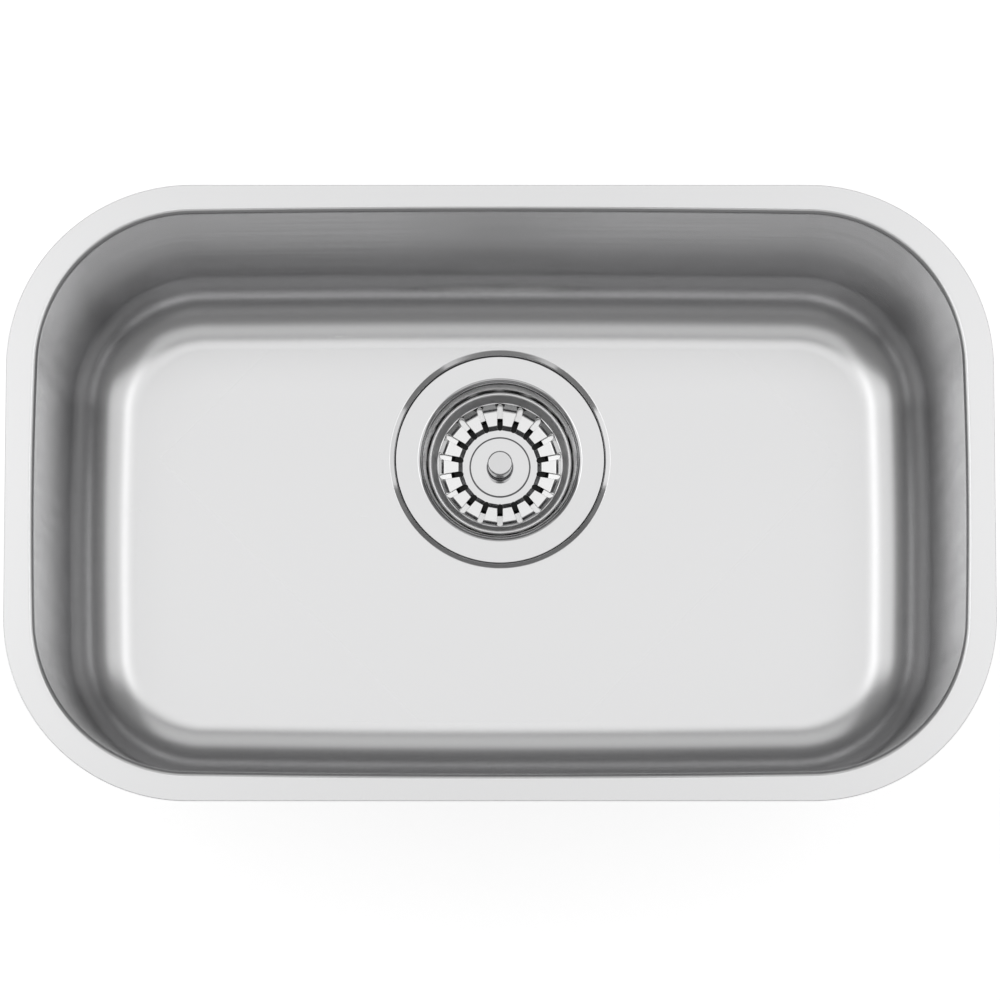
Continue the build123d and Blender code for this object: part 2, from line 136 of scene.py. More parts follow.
@dataclass
class ShaderGraph:
    """Adds nodes to one node tree and hands back their outputs as signals."""

    tree: bpy.types.NodeTree

    def add(
        self,
        kind: str,
        settings: Mapping[str, Any] | None = None,
        inputs: Mapping[str | int, Any] | None = None,
        output: str | int = 0,
    ) -> Signal:
        """Add a node.

        Args:
            kind: The node's type.
            settings: Its properties, set first.
            inputs: Values or signals for its sockets.
            output: The socket to hand back.

        Returns:
            The chosen output.
        """
        node = self.tree.nodes.new(kind)
        for key, value in (settings or {}).items():
            setattr(node, key, value)
        for key, value in (inputs or {}).items():
            self.feed(node.inputs[key], value)
        return Signal(self, node.outputs[output])

    def feed(self, socket: bpy.types.NodeSocket, value: Any) -> None:
        """Link a signal to a socket, or set the socket to a plain value.

        Args:
            socket: The input.
            value: A signal, number, colour or vector.
        """
        if isinstance(value, Signal):
            self.tree.links.new(value.socket, socket)
        elif socket.type == "RGBA" and len(value) == 3:
            socket.default_value = (*value, 1.0)
        else:
            socket.default_value = value

    def place(self) -> Signal:
        """The point on the surface, in the object's own metres."""
        return self.add("ShaderNodeTexCoord", output="Object")

    def parts(self, vector: Signal) -> tuple[Signal, Signal, Signal]:
        """Split a vector into its three numbers."""
        split = self.add("ShaderNodeSeparateXYZ", inputs={0: vector})
        return tuple(Signal(self, socket) for socket in split.socket.node.outputs)

    def scaled(self, vector: Signal, scale: tuple[float, float, float]) -> Signal:
        """Multiply a vector by a scale along each axis."""
        return self.add("ShaderNodeVectorMath", {"operation": "MULTIPLY"}, {0: vector, 1: scale})

    def shifted(self, vector: Signal, shift: tuple[float, float, float]) -> Signal:
        """Move a vector by a fixed step."""
        return self.add("ShaderNodeVectorMath", {"operation": "ADD"}, {0: vector, 1: shift})

    def joined(self, x: Any, y: Any, z: Any) -> Signal:
        """Make a vector from three numbers or signals."""
        return self.add("ShaderNodeCombineXYZ", inputs={0: x, 1: y, 2: z})

    def noise(self, vector: Signal, scale: float, detail: float = 2.0, roughness: float = 0.5) -> Signal:
        """Smooth noise around 0.5."""
        inputs = {"Vector": vector, "Scale": scale, "Detail": detail, "Roughness": roughness}
        return self.add("ShaderNodeTexNoise", inputs=inputs)

    def blended(self, factor: Any, first: Any, second: Any) -> Signal:
        """Mix two colours, by the Mix node's own numbers, as its colours and values share names.

        Args:
            factor: 0 for the first and 1 for the second.
            first: A colour or signal.
            second: The other one.

        Returns:
            The blended colour.
        """
        node = self.add("ShaderNodeMix", {"data_type": "RGBA"}, output="Result").socket.node
        self.feed(node.inputs[0], factor)
        self.feed(node.inputs[6], first)
        self.feed(node.inputs[7], second)
        return Signal(self, node.outputs[2])

    def bump(self, height: Signal, distance: float) -> Signal:
        """Turn a height into a normal."""
        return self.add("ShaderNodeBump", inputs={"Height": height, "Distance": distance})

    def within(self, value: Signal, start: tuple[float, float], stop: tuple[float, float]) -> Signal:
        """1 between two soft edges, and 0 beyond them."""
        return value.ramp(*start) * (1.0 - value.ramp(*stop))

    def about_drain(self) -> tuple[Signal, Signal]:
        """The distance from the drain's axis, and the level, in metres."""
        x, y, z = self.parts(self.shifted(self.place(), (0.0, -DRAIN_Y * MILLIMETRE, 0.0)))
        return (x * x + y * y) ** 0.5, z


# ---------------------------------------------------------------------------- finishes


@dataclass(frozen=True)
class Finish:
    """A material: its fixed values and how its surface varies."""

    name: str
    colour: Colour
    roughness: float
    metallic: float = 0.0

    def build(self) -> bpy.types.Material:
        """Make the material, or hand back the one already made.

        Returns:
            The material.
        """
        if self.name in bpy.data.materials:
            return bpy.data.materials[self.name]
        material = bpy.data.materials.new(self.name)
        material.use_nodes = True
        material.diffuse_color = (*self.colour, 1.0)
        graph = ShaderGraph(material.node_tree)
        surface = material.node_tree.nodes["Principled BSDF"]
        for name, value in {
            "Base Color": self.colour,
            "Roughness": self.roughness,
            "Metallic": self.metallic,
        }.items():
            graph.feed(surface.inputs[name], value)
        for name, value in self.varied(graph).items():
            graph.feed(surface.inputs[name], value)
        return material

    def varied(self, graph: ShaderGraph) -> dict[str, Signal]:
        """What changes over the surface, by socket name."""
        return {}

    def tinted(self, graph: ShaderGraph, factor: Signal, spread: float) -> Signal:
        """The colour, made a little darker or lighter by a factor from 0 to 1.

        Args:
            graph: The material's graph.
            factor: 0 for the darkest and 1 for the lightest.
            spread: How far the colour goes either way, as a share of itself.

        Returns:
            The tinted colour.
        """
        dark = tuple(channel * (1 - spread) for channel in self.colour)
        light = tuple(min(channel * (1 + spread), 1.0) for channel in self.colour)
        return graph.blended(factor, dark, light)


class GrainRun(Enum):
    """The way that the lines of a metal finish run."""

    LEVEL = "level lines along the sheet"
    TURNED = "rings about the drain"
    PLAIN = "no lines"


@dataclass(frozen=True)
class Steel(Finish):
    """Stainless steel or plated metal with a grain, whose scales are for its fine and broad noise."""

    metallic: float = 1.0
    run: GrainRun = GrainRun.PLAIN
    grain_depth: float = 0.000004
    roughness_spread: float = 0.06
    colour_spread: float = 0.02
    fine_share: float = 0.6
    line_detail: tuple[float, float] = (3.0, 0.6)
    level_scales: tuple[tuple[float, float, float], ...] = ((18, 900, 900), (4, 60, 60))
    turned_scales: tuple[float, float] = (2500.0, 90.0)
    plain_scales: tuple[float, float] = (1400.0, 60.0)

    def varied(self, graph: ShaderGraph) -> dict[str, Signal]:
        """Grain in the roughness, the colour and the normal.

        Args:
            graph: The material's graph.

        Returns:
            What feeds the surface, by socket name.
        """
        place = graph.place()
        if self.run is GrainRun.LEVEL:
            fine_scale, broad_scale = self.level_scales
            fine = graph.noise(graph.scaled(place, fine_scale), 1.0, *self.line_detail)
            broad = graph.noise(graph.scaled(place, broad_scale), 1.0)
        elif self.run is GrainRun.TURNED:
            fine_scale, broad_scale = self.turned_scales
            radius, level = graph.about_drain()
            fine = graph.noise(graph.joined(radius * fine_scale, level * fine_scale, 0.0), 1.0)
            broad = graph.noise(place, broad_scale)
        else:
            fine_scale, broad_scale = self.plain_scales
            fine, broad = graph.noise(place, fine_scale), graph.noise(place, broad_scale)
        texture = fine * self.fine_share + broad * (1 - self.fine_share)
        return {
            "Roughness": self.roughness + (texture - 0.5) * self.roughness_spread,
            "Base Color": self.tinted(graph, texture, self.colour_spread),
            "Normal": graph.bump(fine, self.grain_depth),
        }

    @staticmethod
    def overlay(
        graph: ShaderGraph, sockets: dict[str, Signal], mask: Signal, colour: Any, rougher: float = 0.0
    ) -> None:
        """Lay another finish over part of the surface.

        Args:
            graph: The material's graph.
            sockets: What feeds the surface so far; the entries are replaced.
            mask: 1 where the other finish shows.
            colour: The other finish's colour.
            rougher: How much rougher it is than what it lies on.
        """
        sockets["Base Color"] = graph.blended(mask, sockets["Base Color"], colour)
        if rougher:
            sockets["Roughness"] = sockets["Roughness"] + mask * rougher


@dataclass(frozen=True)
class CupSteel(Steel):
    """Polished steel with a duller throat and seat, and painted shade in a dark ring above the seat.

    Each edge between two finishes is where it starts and ends, in metres from the drain's axis
    or below the strainer's top.
    """

    bore_edge: tuple[float, float] = (0.0418, 0.0422)
    throat_edge: tuple[float, float] = (0.0015, 0.004)
    seat_edge: tuple[float, float] = (0.027, 0.0284)
    # painted shade: the ring below the basket's rim is coloured near black, where the gap lies in shade
    shade_ring_edge: tuple[float, float] = (0.018, 0.021)
    shade_ring_inner_edge: tuple[float, float] = (0.0375, 0.039)
    throat_roughness: float = 0.32
    throat_colour: Colour = (0.93, 0.93, 0.93)
    seat_roughness: float = 0.2
    seat_colour: Colour = (0.86, 0.86, 0.86)
    shade_ring_roughness: float = 0.6
    shade_ring_colour: Colour = (0.1, 0.1, 0.105)

    def varied(self, graph: ShaderGraph) -> dict[str, Signal]:
        """The polish, the duller throat and seat, and painted shade in a ring below the basket's rim.

        Args:
            graph: The material's graph.

        Returns:
            What feeds the surface, by socket name.
        """
        sockets = super().varied(graph)
        radius, level = graph.about_drain()
        depth = DRAIN_LEVEL * MILLIMETRE - level
        inside = 1.0 - radius.ramp(*self.bore_edge)
        throat = depth.ramp(*self.throat_edge) * inside
        seat = depth.ramp(*self.seat_edge) * inside
        # painted shade: a dark ring on the throat under the basket's rim
        ring = depth.ramp(*self.shade_ring_edge) * radius.ramp(*self.shade_ring_inner_edge) * inside * (1.0 - seat)
        for mask, colour, roughness, beneath in (
            (throat, self.throat_colour, self.throat_roughness, self.roughness),
            (seat, self.seat_colour, self.seat_roughness, self.throat_roughness),
            (ring, self.shade_ring_colour, self.shade_ring_roughness, self.throat_roughness),
        ):
            self.overlay(graph, sockets, mask, colour, roughness - beneath)
        return sockets


@dataclass(frozen=True)
class BasketSteel(Steel):
    """Polished steel with brushed, lighter facets and painted shade in the groove round the raised middle.

    Each edge between two finishes is where it starts and ends, in metres from the drain's axis.
    """

    facet_edges: tuple[tuple[float, float], ...] = ((0.0204, 0.0212), (0.0335, 0.0343))
    groove_shade_edges: tuple[tuple[float, float], ...] = ((0.0159, 0.0162), (0.0167, 0.017))
    band_edge: tuple[float, float] = (0.0343, 0.0347)
    facet_roughness: float = 0.12
    facet_colour: Colour = (0.84, 0.84, 0.84)
    band_roughness: float = 0.42
    band_colour: Colour = (0.98, 0.98, 0.98)
    groove_shade_colour: Colour = (0.14, 0.14, 0.145)

    def varied(self, graph: ShaderGraph) -> dict[str, Signal]:
        """The polish, the facets' brushing, the duller band and the painted shade in the groove.

        Args:
            graph: The material's graph.

        Returns:
            What feeds the surface, by socket name.
        """
        sockets = super().varied(graph)
        radius, _ = graph.about_drain()
        facet = graph.within(radius, *self.facet_edges)
        band = radius.ramp(*self.band_edge)
        # painted shade: a dark line coloured into the groove round the raised middle
        line = graph.within(radius, *self.groove_shade_edges)
        self.overlay(graph, sockets, facet, self.facet_colour, self.facet_roughness - self.roughness)
        self.overlay(graph, sockets, band, self.band_colour, self.band_roughness - self.roughness)
        self.overlay(graph, sockets, line, self.groove_shade_colour)
        return sockets


@dataclass(frozen=True)
class KnobSteel(Steel):
    """Polished steel whose turned side is darker than its top, by painted shade."""

    # painted shade: the dark colour of the knob's side stands for a dark reflection
    side_shade_colour: Colour = (0.18, 0.18, 0.185)
    side_shade_edge: tuple[float, float] = (0.1958, 0.1964)

    def varied(self, graph: ShaderGraph) -> dict[str, Signal]:
        """The polish, and painted shade on the turned side.

        Args:
            graph: The material's graph.

        Returns:
            What feeds the surface, by socket name.
        """
        sockets = super().varied(graph)
        _, _, z = graph.parts(graph.place())
        # painted shade: the knob's side below its top is coloured dark, as a painted dark reflection
        self.overlay(graph, sockets, (0.0 - z).ramp(*self.side_shade_edge), self.side_shade_colour)
        return sockets


@dataclass(frozen=True)
class DrawnSheet(Steel):
    """The pressed sheet's satin face: brushed level, painted shade on its walls streaked with draw marks,
    a brighter recess.
    """

    # painted shade: the walls are coloured darker than the flange and floor, between these two tones
    wall_shade_dark: Colour = (0.54, 0.54, 0.545)
    wall_shade_light: Colour = (0.8, 0.8, 0.805)
    recess_roughness: float = 0.1
    wall_foot: tuple[float, float] = (-0.158, -0.13)
    wall_head: tuple[float, float] = (-0.004, -0.001)
    end_walls: tuple[float, float] = (0.19, 0.236)
    recess_edge: tuple[float, float] = (0.0598, 0.0608)
    level_mark_scale: tuple[float, float, float] = (6.0, 6.0, 230.0)
    upright_mark_scale: tuple[float, float, float] = (9.0, 120.0, 9.0)

    def varied(self, graph: ShaderGraph) -> dict[str, Signal]:
        """The brush lines, and the walls' painted shade, streaked with draw marks: level on the long
        walls, upright on the ends.

        Args:
            graph: The material's graph.

        Returns:
            What feeds the surface, by socket name.
        """
        sockets = super().varied(graph)
        place = graph.place()
        x, _, z = graph.parts(place)
        level_marks, upright_marks = (
            graph.noise(graph.scaled(place, scale), 1.0, *self.line_detail)
            for scale in (self.level_mark_scale, self.upright_mark_scale)
        )
        marks = graph.blended(abs(x).ramp(*self.end_walls), level_marks, upright_marks)
        # painted shade: the walls' darkening is painted shade, and the streaks in it are draw marks
        painted_wall_shade = graph.blended(marks, self.wall_shade_dark, self.wall_shade_light)
        self.overlay(graph, sockets, graph.within(z, self.wall_foot, self.wall_head), painted_wall_shade)
        radius, _ = graph.about_drain()
        recess = 1.0 - radius.ramp(*self.recess_edge)
        sockets["Roughness"] = sockets["Roughness"] + recess * (self.recess_roughness - self.roughness)
        return sockets


@dataclass(frozen=True)
class Rubber(Finish):
    """Matt rubber or bitumen sheet with a fine pitted skin."""

    pit_scale: float = 900.0
    pit_detail: tuple[float, float] = (3.0, 0.6)
    pit_depth: float = 0.00003
    bloom_scale: float = 35.0
    bloom_edge: tuple[float, float] = (0.3, 0.7)
    roughness_spread: float = 0.2
    colour_spread: float = 0.25

    def varied(self, graph: ShaderGraph) -> dict[str, Signal]:
        """Pits in the normal and a cloudy bloom in the colour.

        Args:
            graph: The material's graph.

        Returns:
            What feeds the surface, by socket name.
        """
        place = graph.place()
        pits = graph.noise(place, self.pit_scale, *self.pit_detail)
        bloom = graph.noise(place, self.bloom_scale, 3.0).ramp(*self.bloom_edge)
        return {
            "Roughness": self.roughness + (pits - 0.5) * self.roughness_spread,
            "Base Color": self.tinted(graph, bloom, self.colour_spread),
            "Normal": graph.bump(pits, self.pit_depth),
        }


@dataclass(frozen=True)
class Moulded(Finish):
    """Moulded plastic with faint flow marks."""

    flow_scale: tuple[float, float, float] = (40.0, 40.0, 140.0)
    spark_scale: float = 2200.0
    spark_depth: float = 0.000012
    roughness_spread: float = 0.15
    colour_spread: float = 0.04

    def varied(self, graph: ShaderGraph) -> dict[str, Signal]:
        """Flow marks in the roughness and a fine spark texture in the normal.

        Args:
            graph: The material's graph.

        Returns:
            What feeds the surface, by socket name.
        """
        place = graph.place()
        flow = graph.noise(graph.scaled(place, self.flow_scale), 1.0, 3.0)
        spark = graph.noise(place, self.spark_scale, 1.0)
        return {
            "Roughness": self.roughness + (flow - 0.5) * self.roughness_spread,
            "Base Color": self.tinted(graph, flow, self.colour_spread),
            "Normal": graph.bump(spark, self.spark_depth),
        }


@dataclass(frozen=True)
class Floor(Finish):
    """The pale studio floor: plain to the camera and in reflections, and it keeps a shadow."""

    glow: float = 0.72
    mirrored_share: float = 0.6
    mottle_scale: float = 6.0
    mottle_spread: float = 0.004

    def varied(self, graph: ShaderGraph) -> dict[str, Signal]:
        """A barely visible mottle."""
        mottle = graph.noise(graph.place(), self.mottle_scale, 3.0)
        return {"Base Color": self.tinted(graph, mottle, self.mottle_spread)}


SATIN_STEEL = DrawnSheet("satin_sheet", (0.82, 0.82, 0.825), 0.26, run=GrainRun.LEVEL)
MILL_STEEL = Steel("mill_sheet", (0.5, 0.5, 0.505), 0.42, colour_spread=0.12, roughness_spread=0.14)
POLISHED_STEEL = Steel("polished_steel", (0.76, 0.76, 0.765), 0.07, run=GrainRun.TURNED)
BASKET_STEEL = BasketSteel("polished_basket_steel", (0.76, 0.76, 0.765), 0.06, run=GrainRun.TURNED)
CUP_STEEL = CupSteel("polished_cup_steel", (0.76, 0.76, 0.765), 0.07, run=GrainRun.TURNED)
KNOB_STEEL = KnobSteel("knob_steel", (0.7, 0.7, 0.705), 0.06, run=GrainRun.TURNED)
PLAIN_STEEL = Steel("plain_steel", (0.62, 0.62, 0.62), 0.3)
CHROME = Steel("chrome_tube", (0.8, 0.8, 0.81), 0.06)
PAD_RUBBER = Rubber("pad_rubber", (0.055, 0.056, 0.06), 0.78)
BLACK_RUBBER = Rubber("black_rubber", (0.02, 0.02, 0.02), 0.5, pit_scale=1500.0, pit_depth=0.00001)
GREY_FOAM = Rubber("grey_foam", (0.33, 0.33, 0.32), 0.9, pit_scale=1800.0)
WHITE_PLASTIC = Moulded("white_plastic", (0.8, 0.8, 0.77), 0.4)
GREY_PLASTIC = Moulded("grey_plastic", (0.36, 0.37, 0.38), 0.42)
FLOOR = Floor("studio_floor", (0.9, 0.9, 0.9), 0.8)


# ---------------------------------------------------------------------------- meshes


def dress(piece: bpy.types.Object, *finishes: Finish) -> None:
    """Give each material slot of a piece its finish; the last one fills the slots left over.

    Args:
        piece: The piece.
        finishes: A finish for each slot, in order.
    """
    slots = piece.data.materials
    for index in range(max(len(slots), len(finishes))):
        material = finishes[min(index, len(finishes) - 1)].build()
        if index < len(slots):
            slots[index] = material
        else:
            slots.append(material)


@dataclass
class Skin:
    """A closed surface put together from patches that meet at their borders."""

    points: list[np.ndarray] = field(default_factory=list)
    normals: list[np.ndarray] = field(default_factory=list)
    faces: list[np.ndarray] = field(default_factory=list)
    finishes: list[np.ndarray] = field(default_factory=list)
    count: int = 0

    def add(
        self,
        points: np.ndarray,
        normals: np.ndarray,
        ring: bool = False,
        mirrored: bool = False,
        finish: int = 0,
    ) -> None:
        """Add one patch.

        Args:
            points: Rows and columns of places in millimetres.
            normals: The surface's direction at each place.
            ring: Whether the last column joins the first.
            mirrored: Whether the rows and columns wind the other way.
            finish: The number of the patch's finish among the piece's own.
        """
        rows, columns = points.shape[:2]
        number = self.count + np.arange(rows * columns).reshape(rows, columns)
        if ring:
            number = np.concatenate([number, number[:, :1]], axis=1)
        corners = [number[:-1, :-1], number[:-1, 1:], number[1:, 1:], number[1:, :-1]]
        faces = np.stack(corners, axis=-1).reshape(-1, 4)
        self.faces.append(faces[:, ::-1] if mirrored else faces)
        self.finishes.append(np.full(len(faces), finish))
        self.points.append(points.reshape(-1, 3))
        self.normals.append(normals.reshape(-1, 3))
        self.count += rows * columns

    @classmethod
    def closed(cls, points: np.ndarray, normals: np.ndarray) -> "Skin":
        """A turned skin whose last row joins its first.

        Args:
            points: Rows of places.
            normals: The direction at each place.

        Returns:
            The skin.
        """
        skin = cls()
        skin.add(*(np.concatenate([rows, rows[:1]]) for rows in (points, normals)), ring=True)
        return skin

    def build(self, name: str) -> bpy.types.Object:
        """Weld the patches' borders and make the piece, with its exact normals.

        Args:
            name: The piece's name.

        Returns:
            The piece, in the scene.
        """
        points = np.concatenate(self.points)
        # the small shift keeps round coordinates away from the edges of the welding grid
        cells = np.round(points + WELD_SHIFT, WELD_DECIMALS) + 0.0
        _, first, number = np.unique(cells, axis=0, return_index=True, return_inverse=True)
        number = number.ravel()
        normals = np.zeros((len(first), 3))
        np.add.at(normals, number, np.concatenate(self.normals))
        normals /= np.maximum(np.linalg.norm(normals, axis=1, keepdims=True), 1e-9)
        faces, finishes = [], []
        for face, finish in zip(number[np.concatenate(self.faces)], np.concatenate(self.finishes)):
            corners = [corner for index, corner in enumerate(face) if corner != face[index - 1]]
            if len(corners) > 2:
                faces.append(corners)
                finishes.append(finish)
        mesh = bpy.data.meshes.new(name)
        mesh.from_pydata((points[first] * MILLIMETRE).tolist(), [], faces)
        mesh.polygons.foreach_set("material_index", finishes)
        mesh.shade_smooth()
        mesh.normals_split_custom_set_from_vertices(normals.tolist())
        piece = bpy.data.objects.new(name, mesh)
        bpy.context.scene.collection.objects.link(piece)
        return piece


@dataclass
class Outline:
    """Points and normals of a rounded outline, with the material on its left-hand side."""

    points: np.ndarray
    normals: np.ndarray

    @classmethod
    def rounded(cls, corners: Sequence[Sequence[float]], closed: bool = True, steps: int = 5) -> "Outline":
        """Round the corners of an outline in radius and level.

        Args:
            corners: Radius, level and rounding of each corner; the ends of an open outline
                stay sharp.
            closed: Whether the last corner joins the first.
            steps: Points on each rounding, less one.

        Returns:
            The rounded outline.
        """
        places = [np.array(corner[:2], dtype=float) for corner in corners]
        points, normals = [], []
        for index, (place, corner) in enumerate(zip(places, corners)):
            first, last = index == 0, index == len(corners) - 1
            if not closed and (first or last):
                heading = places[index + 1] - place if first else place - places[index - 1]
                points.append(place)
                normals.append(np.array([heading[1], -heading[0]]) / np.linalg.norm(heading))
                continue
            before = places[index - 1] - place
            after = places[(index + 1) % len(places)] - place
            before, after = before / np.linalg.norm(before), after / np.linalg.norm(after)
            half = math.acos(float(np.clip(before @ after, -1, 1))) / 2
            inward = (before + after) / np.linalg.norm(before + after)
            centre = place + inward * corner[2] / math.sin(half)
            start = place + before * corner[2] / math.tan(half) - centre
            end = place + after * corner[2] / math.tan(half) - centre
            turn = math.atan2(start[0] * end[1] - start[1] * end[0], float(start @ end))
            for step in range(steps + 1):
                cos, sin = math.cos(turn * step / steps), math.sin(turn * step / steps)
                spoke = np.array([start[0] * cos - start[1] * sin, start[0] * sin + start[1] * cos])
                points.append(centre + spoke)
                normals.append(math.copysign(1.0, turn) * spoke / corner[2])
        return cls(np.array(points), np.array(normals))

    def at_angles(self, angles: np.ndarray) -> tuple[np.ndarray, np.ndarray]:
        """Turn the outline about an upright axis through its own zero.

        Args:
            angles: The angles to show it at.

        Returns:
            A row of places and a row of directions for each point of the outline.
        """
        across = np.stack([np.cos(angles), np.sin(angles)], axis=1)

        def spread(pairs: np.ndarray) -> np.ndarray:
            """Every pair of radius and level at every angle."""
            level = np.broadcast_to(pairs[:, None, 1:], (len(pairs), len(angles), 1))
            return np.concatenate([pairs[:, None, :1] * across[None], level], axis=2)

        return spread(self.points), spread(self.normals)

    def turned(self, segments: int = 192) -> tuple[np.ndarray, np.ndarray]:
        """Turn the outline all the way about the drain's axis; rows as in at_angles."""
        places, directions = self.at_angles(np.linspace(0, 2 * math.pi, segments, endpoint=False))
        return places + DRAIN_PLACE, directions

    def revolve(self, name: str, closed: bool = True, segments: int = 192) -> bpy.types.Object:
        """Turn the outline about the drain's axis into one piece.

        Args:
            name: The piece's name.
            closed: Whether the outline's last point joins its first.
            segments: How many angles.

        Returns:
            The piece, in the scene.
        """
        places, directions = self.turned(segments)
        if closed:
            return Skin.closed(places, directions).build(name)
        skin = Skin()
        skin.add(places, directions, ring=True)
        return skin.build(name)


def place_piece(piece: bpy.types.Object, body: str, slot: str, node: str, *finishes: Finish) -> None:
    """Dress a piece and hand it to the frame.

    Args:
        piece: The new piece.
        body: The CAD body that it rides on.
        slot: The record's material slot for the piece; not used.
        node: The CAD node that it stands for.
        finishes: The finish of each of its material slots.
    """
    dress(piece, *finishes)
    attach(piece, body)
    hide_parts(node)
    named = ", ".join(finish.name for finish in finishes)
    LOG.info("%s stands for %s: %d faces, in %s", piece.name, node, len(piece.data.polygons), named)


# ---------------------------------------------------------------------------- sink bowl


@dataclass
class SinkBowl:
    """The pressed sheet: flange, rim bend, drafted walls, dished floor and strainer recess."""

    sheet: float = 1.0
    flange_half: tuple[float, float] = (255.0, 160.0)
    flange_corner: float = 95.0
    edge_round: float = 0.3
    opening_half: tuple[float, float] = (240.0, 146.0)
    opening_corner: float = 80.0
    end_radius: float = 2050.0
    side_radius: float = 9850.0
    rim_bend: float = 3.2
    depth: float = 180.0
    draft: float = math.radians(3.0)
    fillet: float = 36.0
    dish: float = 8000.0
    recess_depth: float = 4.5
    recess_edge: tuple[float, float] = (60.2, 1.5)
    recess_step: tuple[float, float, float] = (57.5, 1.12, 1.05)
    recess_foot: tuple[float, float] = (56.9, 0.3)
    drain_hole: float = 45.0
    stretches: tuple[int, int, int] = (48, 36, 80)
    flange_parts: tuple[float, ...] = (0.0, 0.5, 1.0)
    rim_steps: int = 12
    wall_parts: tuple[float, ...] = (0.15, 0.3, 0.45, 0.6, 0.75, 0.9)
    fillet_steps: int = 30
    floor_steps: int = 14
    recess_steps: int = 7
    cut_turns: tuple[float, ...] = (0.33, 0.67, 1.0)

    def build(self) -> None:
        """Make the sheet as one closed surface with exact normals, in the CAD node's place."""
        self.outline, self.outward = self._opening()
        self.flange, self.flange_outward = self._flange()
        self.rows: list[tuple[np.ndarray, np.ndarray]] = []
        self._rim()
        self._floor(self._fillet())
        upper = list(self.rows)
        lower = [(points - normals * self.sheet, -normals) for points, normals in reversed(upper)]
        drain = self._cut_edge(upper[-1], lower[0], self._towards_drain(upper[-1][0]))
        rim = self._cut_edge(lower[-1], upper[0], self.flange_outward)
        skin = Skin()
        for finish, rows in enumerate((rim[-2:] + upper + drain[:3], drain[2:] + lower + rim[:-1])):
            points = np.stack([points for points, _ in rows])
            normals = np.stack([normals for _, normals in rows])
            skin.add(points, normals, ring=True, finish=finish)
        bowl = skin.build("pressed_sink_bowl")
        place_piece(bowl, "sink", "satin_steel", "sink_bowl", SATIN_STEEL, MILL_STEEL)

    def _opening(self) -> tuple[np.ndarray, np.ndarray]:
        """The opening's edge and outward directions: four bowed sides and the corners between them.

        Returns:
            The edge's points and the directions away from the opening, in plan.
        """
        half_x, half_y = self.opening_half
        end_back, side_back = self.end_radius - half_x, self.side_radius - half_y
        reach_end = self.end_radius - self.opening_corner
        reach_side = self.side_radius - self.opening_corner
        # a corner's centre lies at fixed distances from the centres of the two bowed sides
        apart = math.hypot(end_back, side_back)
        along = (reach_end**2 - reach_side**2 + apart**2) / (2 * apart)
        aside = math.sqrt(reach_end**2 - along**2)
        towards = np.array([end_back, -side_back]) / apart
        x, y = np.array([-end_back, 0.0]) + along * towards + aside * np.array([-towards[1], towards[0]])
        low, high = math.atan2(y, x + end_back), math.atan2(y + side_back, x)
        corner, half_turn, turn = self.opening_corner, math.pi, 2 * math.pi
        arcs = [
            ((-end_back, 0), self.end_radius, -low, low),
            ((x, y), corner, low, high),
            ((0, -side_back), self.side_radius, high, half_turn - high),
            ((-x, y), corner, half_turn - high, half_turn - low),
            ((end_back, 0), self.end_radius, half_turn - low, half_turn + low),
            ((-x, -y), corner, half_turn + low, half_turn + high),
            ((0, side_back), self.side_radius, half_turn + high, turn - high),
            ((x, -y), corner, turn - high, turn - low),
        ]
        points, normals = [], []
        end_count, corner_count, side_count = self.stretches
        counts = [end_count, corner_count, side_count, corner_count] * 2
        for (centre, radius, start, stop), count in zip(arcs, counts):
            angles = np.linspace(start, stop, count, endpoint=False)
            spokes = np.stack([np.cos(angles), np.sin(angles)], axis=1)
            points.append(np.array(centre) + radius * spokes)
            normals.append(spokes)
        return np.concatenate(points), np.concatenate(normals)

    def _flange(self) -> tuple[np.ndarray, np.ndarray]:
        """The flange's outer edge and outward directions, point for point with the opening.

        Returns:
            The edge's points and the directions out of the sheet, in plan.
        """
        points, normals = [], []
        end_count, corner_count, side_count = self.stretches
        x, y = self.flange_half[0] - self.flange_corner, self.flange_half[1] - self.flange_corner
        stops = np.array([(x, -y), (x, y), (-x, y), (-x, -y), (x, -y)])
        for quarter in range(4):
            facing = quarter * math.pi / 2
            straight = np.array([math.cos(facing), math.sin(facing)])
            parts = np.linspace(0, 1, side_count if quarter % 2 else end_count, endpoint=False)[:, None]
            run = stops[quarter] + (stops[quarter + 1] - stops[quarter]) * parts
            angles = np.linspace(facing, facing + math.pi / 2, corner_count, endpoint=False)
            spokes = np.stack([np.cos(angles), np.sin(angles)], axis=1)
            points.append(run + straight * self.flange_corner)
            points.append(stops[quarter + 1] + spokes * self.flange_corner)
            normals += [np.broadcast_to(straight, run.shape), spokes]
        return np.concatenate(points), np.concatenate(normals)

    def _add(self, flat: np.ndarray, level: Any, flat_normal: np.ndarray, level_normal: Any) -> None:
        """Add one row of places and directions to the upper face.

        Args:
            flat: The places in plan.
            level: Their levels, or one level for all.
            flat_normal: The directions in plan.
            level_normal: Their upward share.
        """
        ones = np.ones((len(flat), 1))
        points = np.concatenate([flat, ones * np.reshape(level, (-1, 1))], axis=1)
        normals = np.concatenate([flat_normal, ones * np.reshape(level_normal, (-1, 1))], axis=1)
        self.rows.append((points, normals))

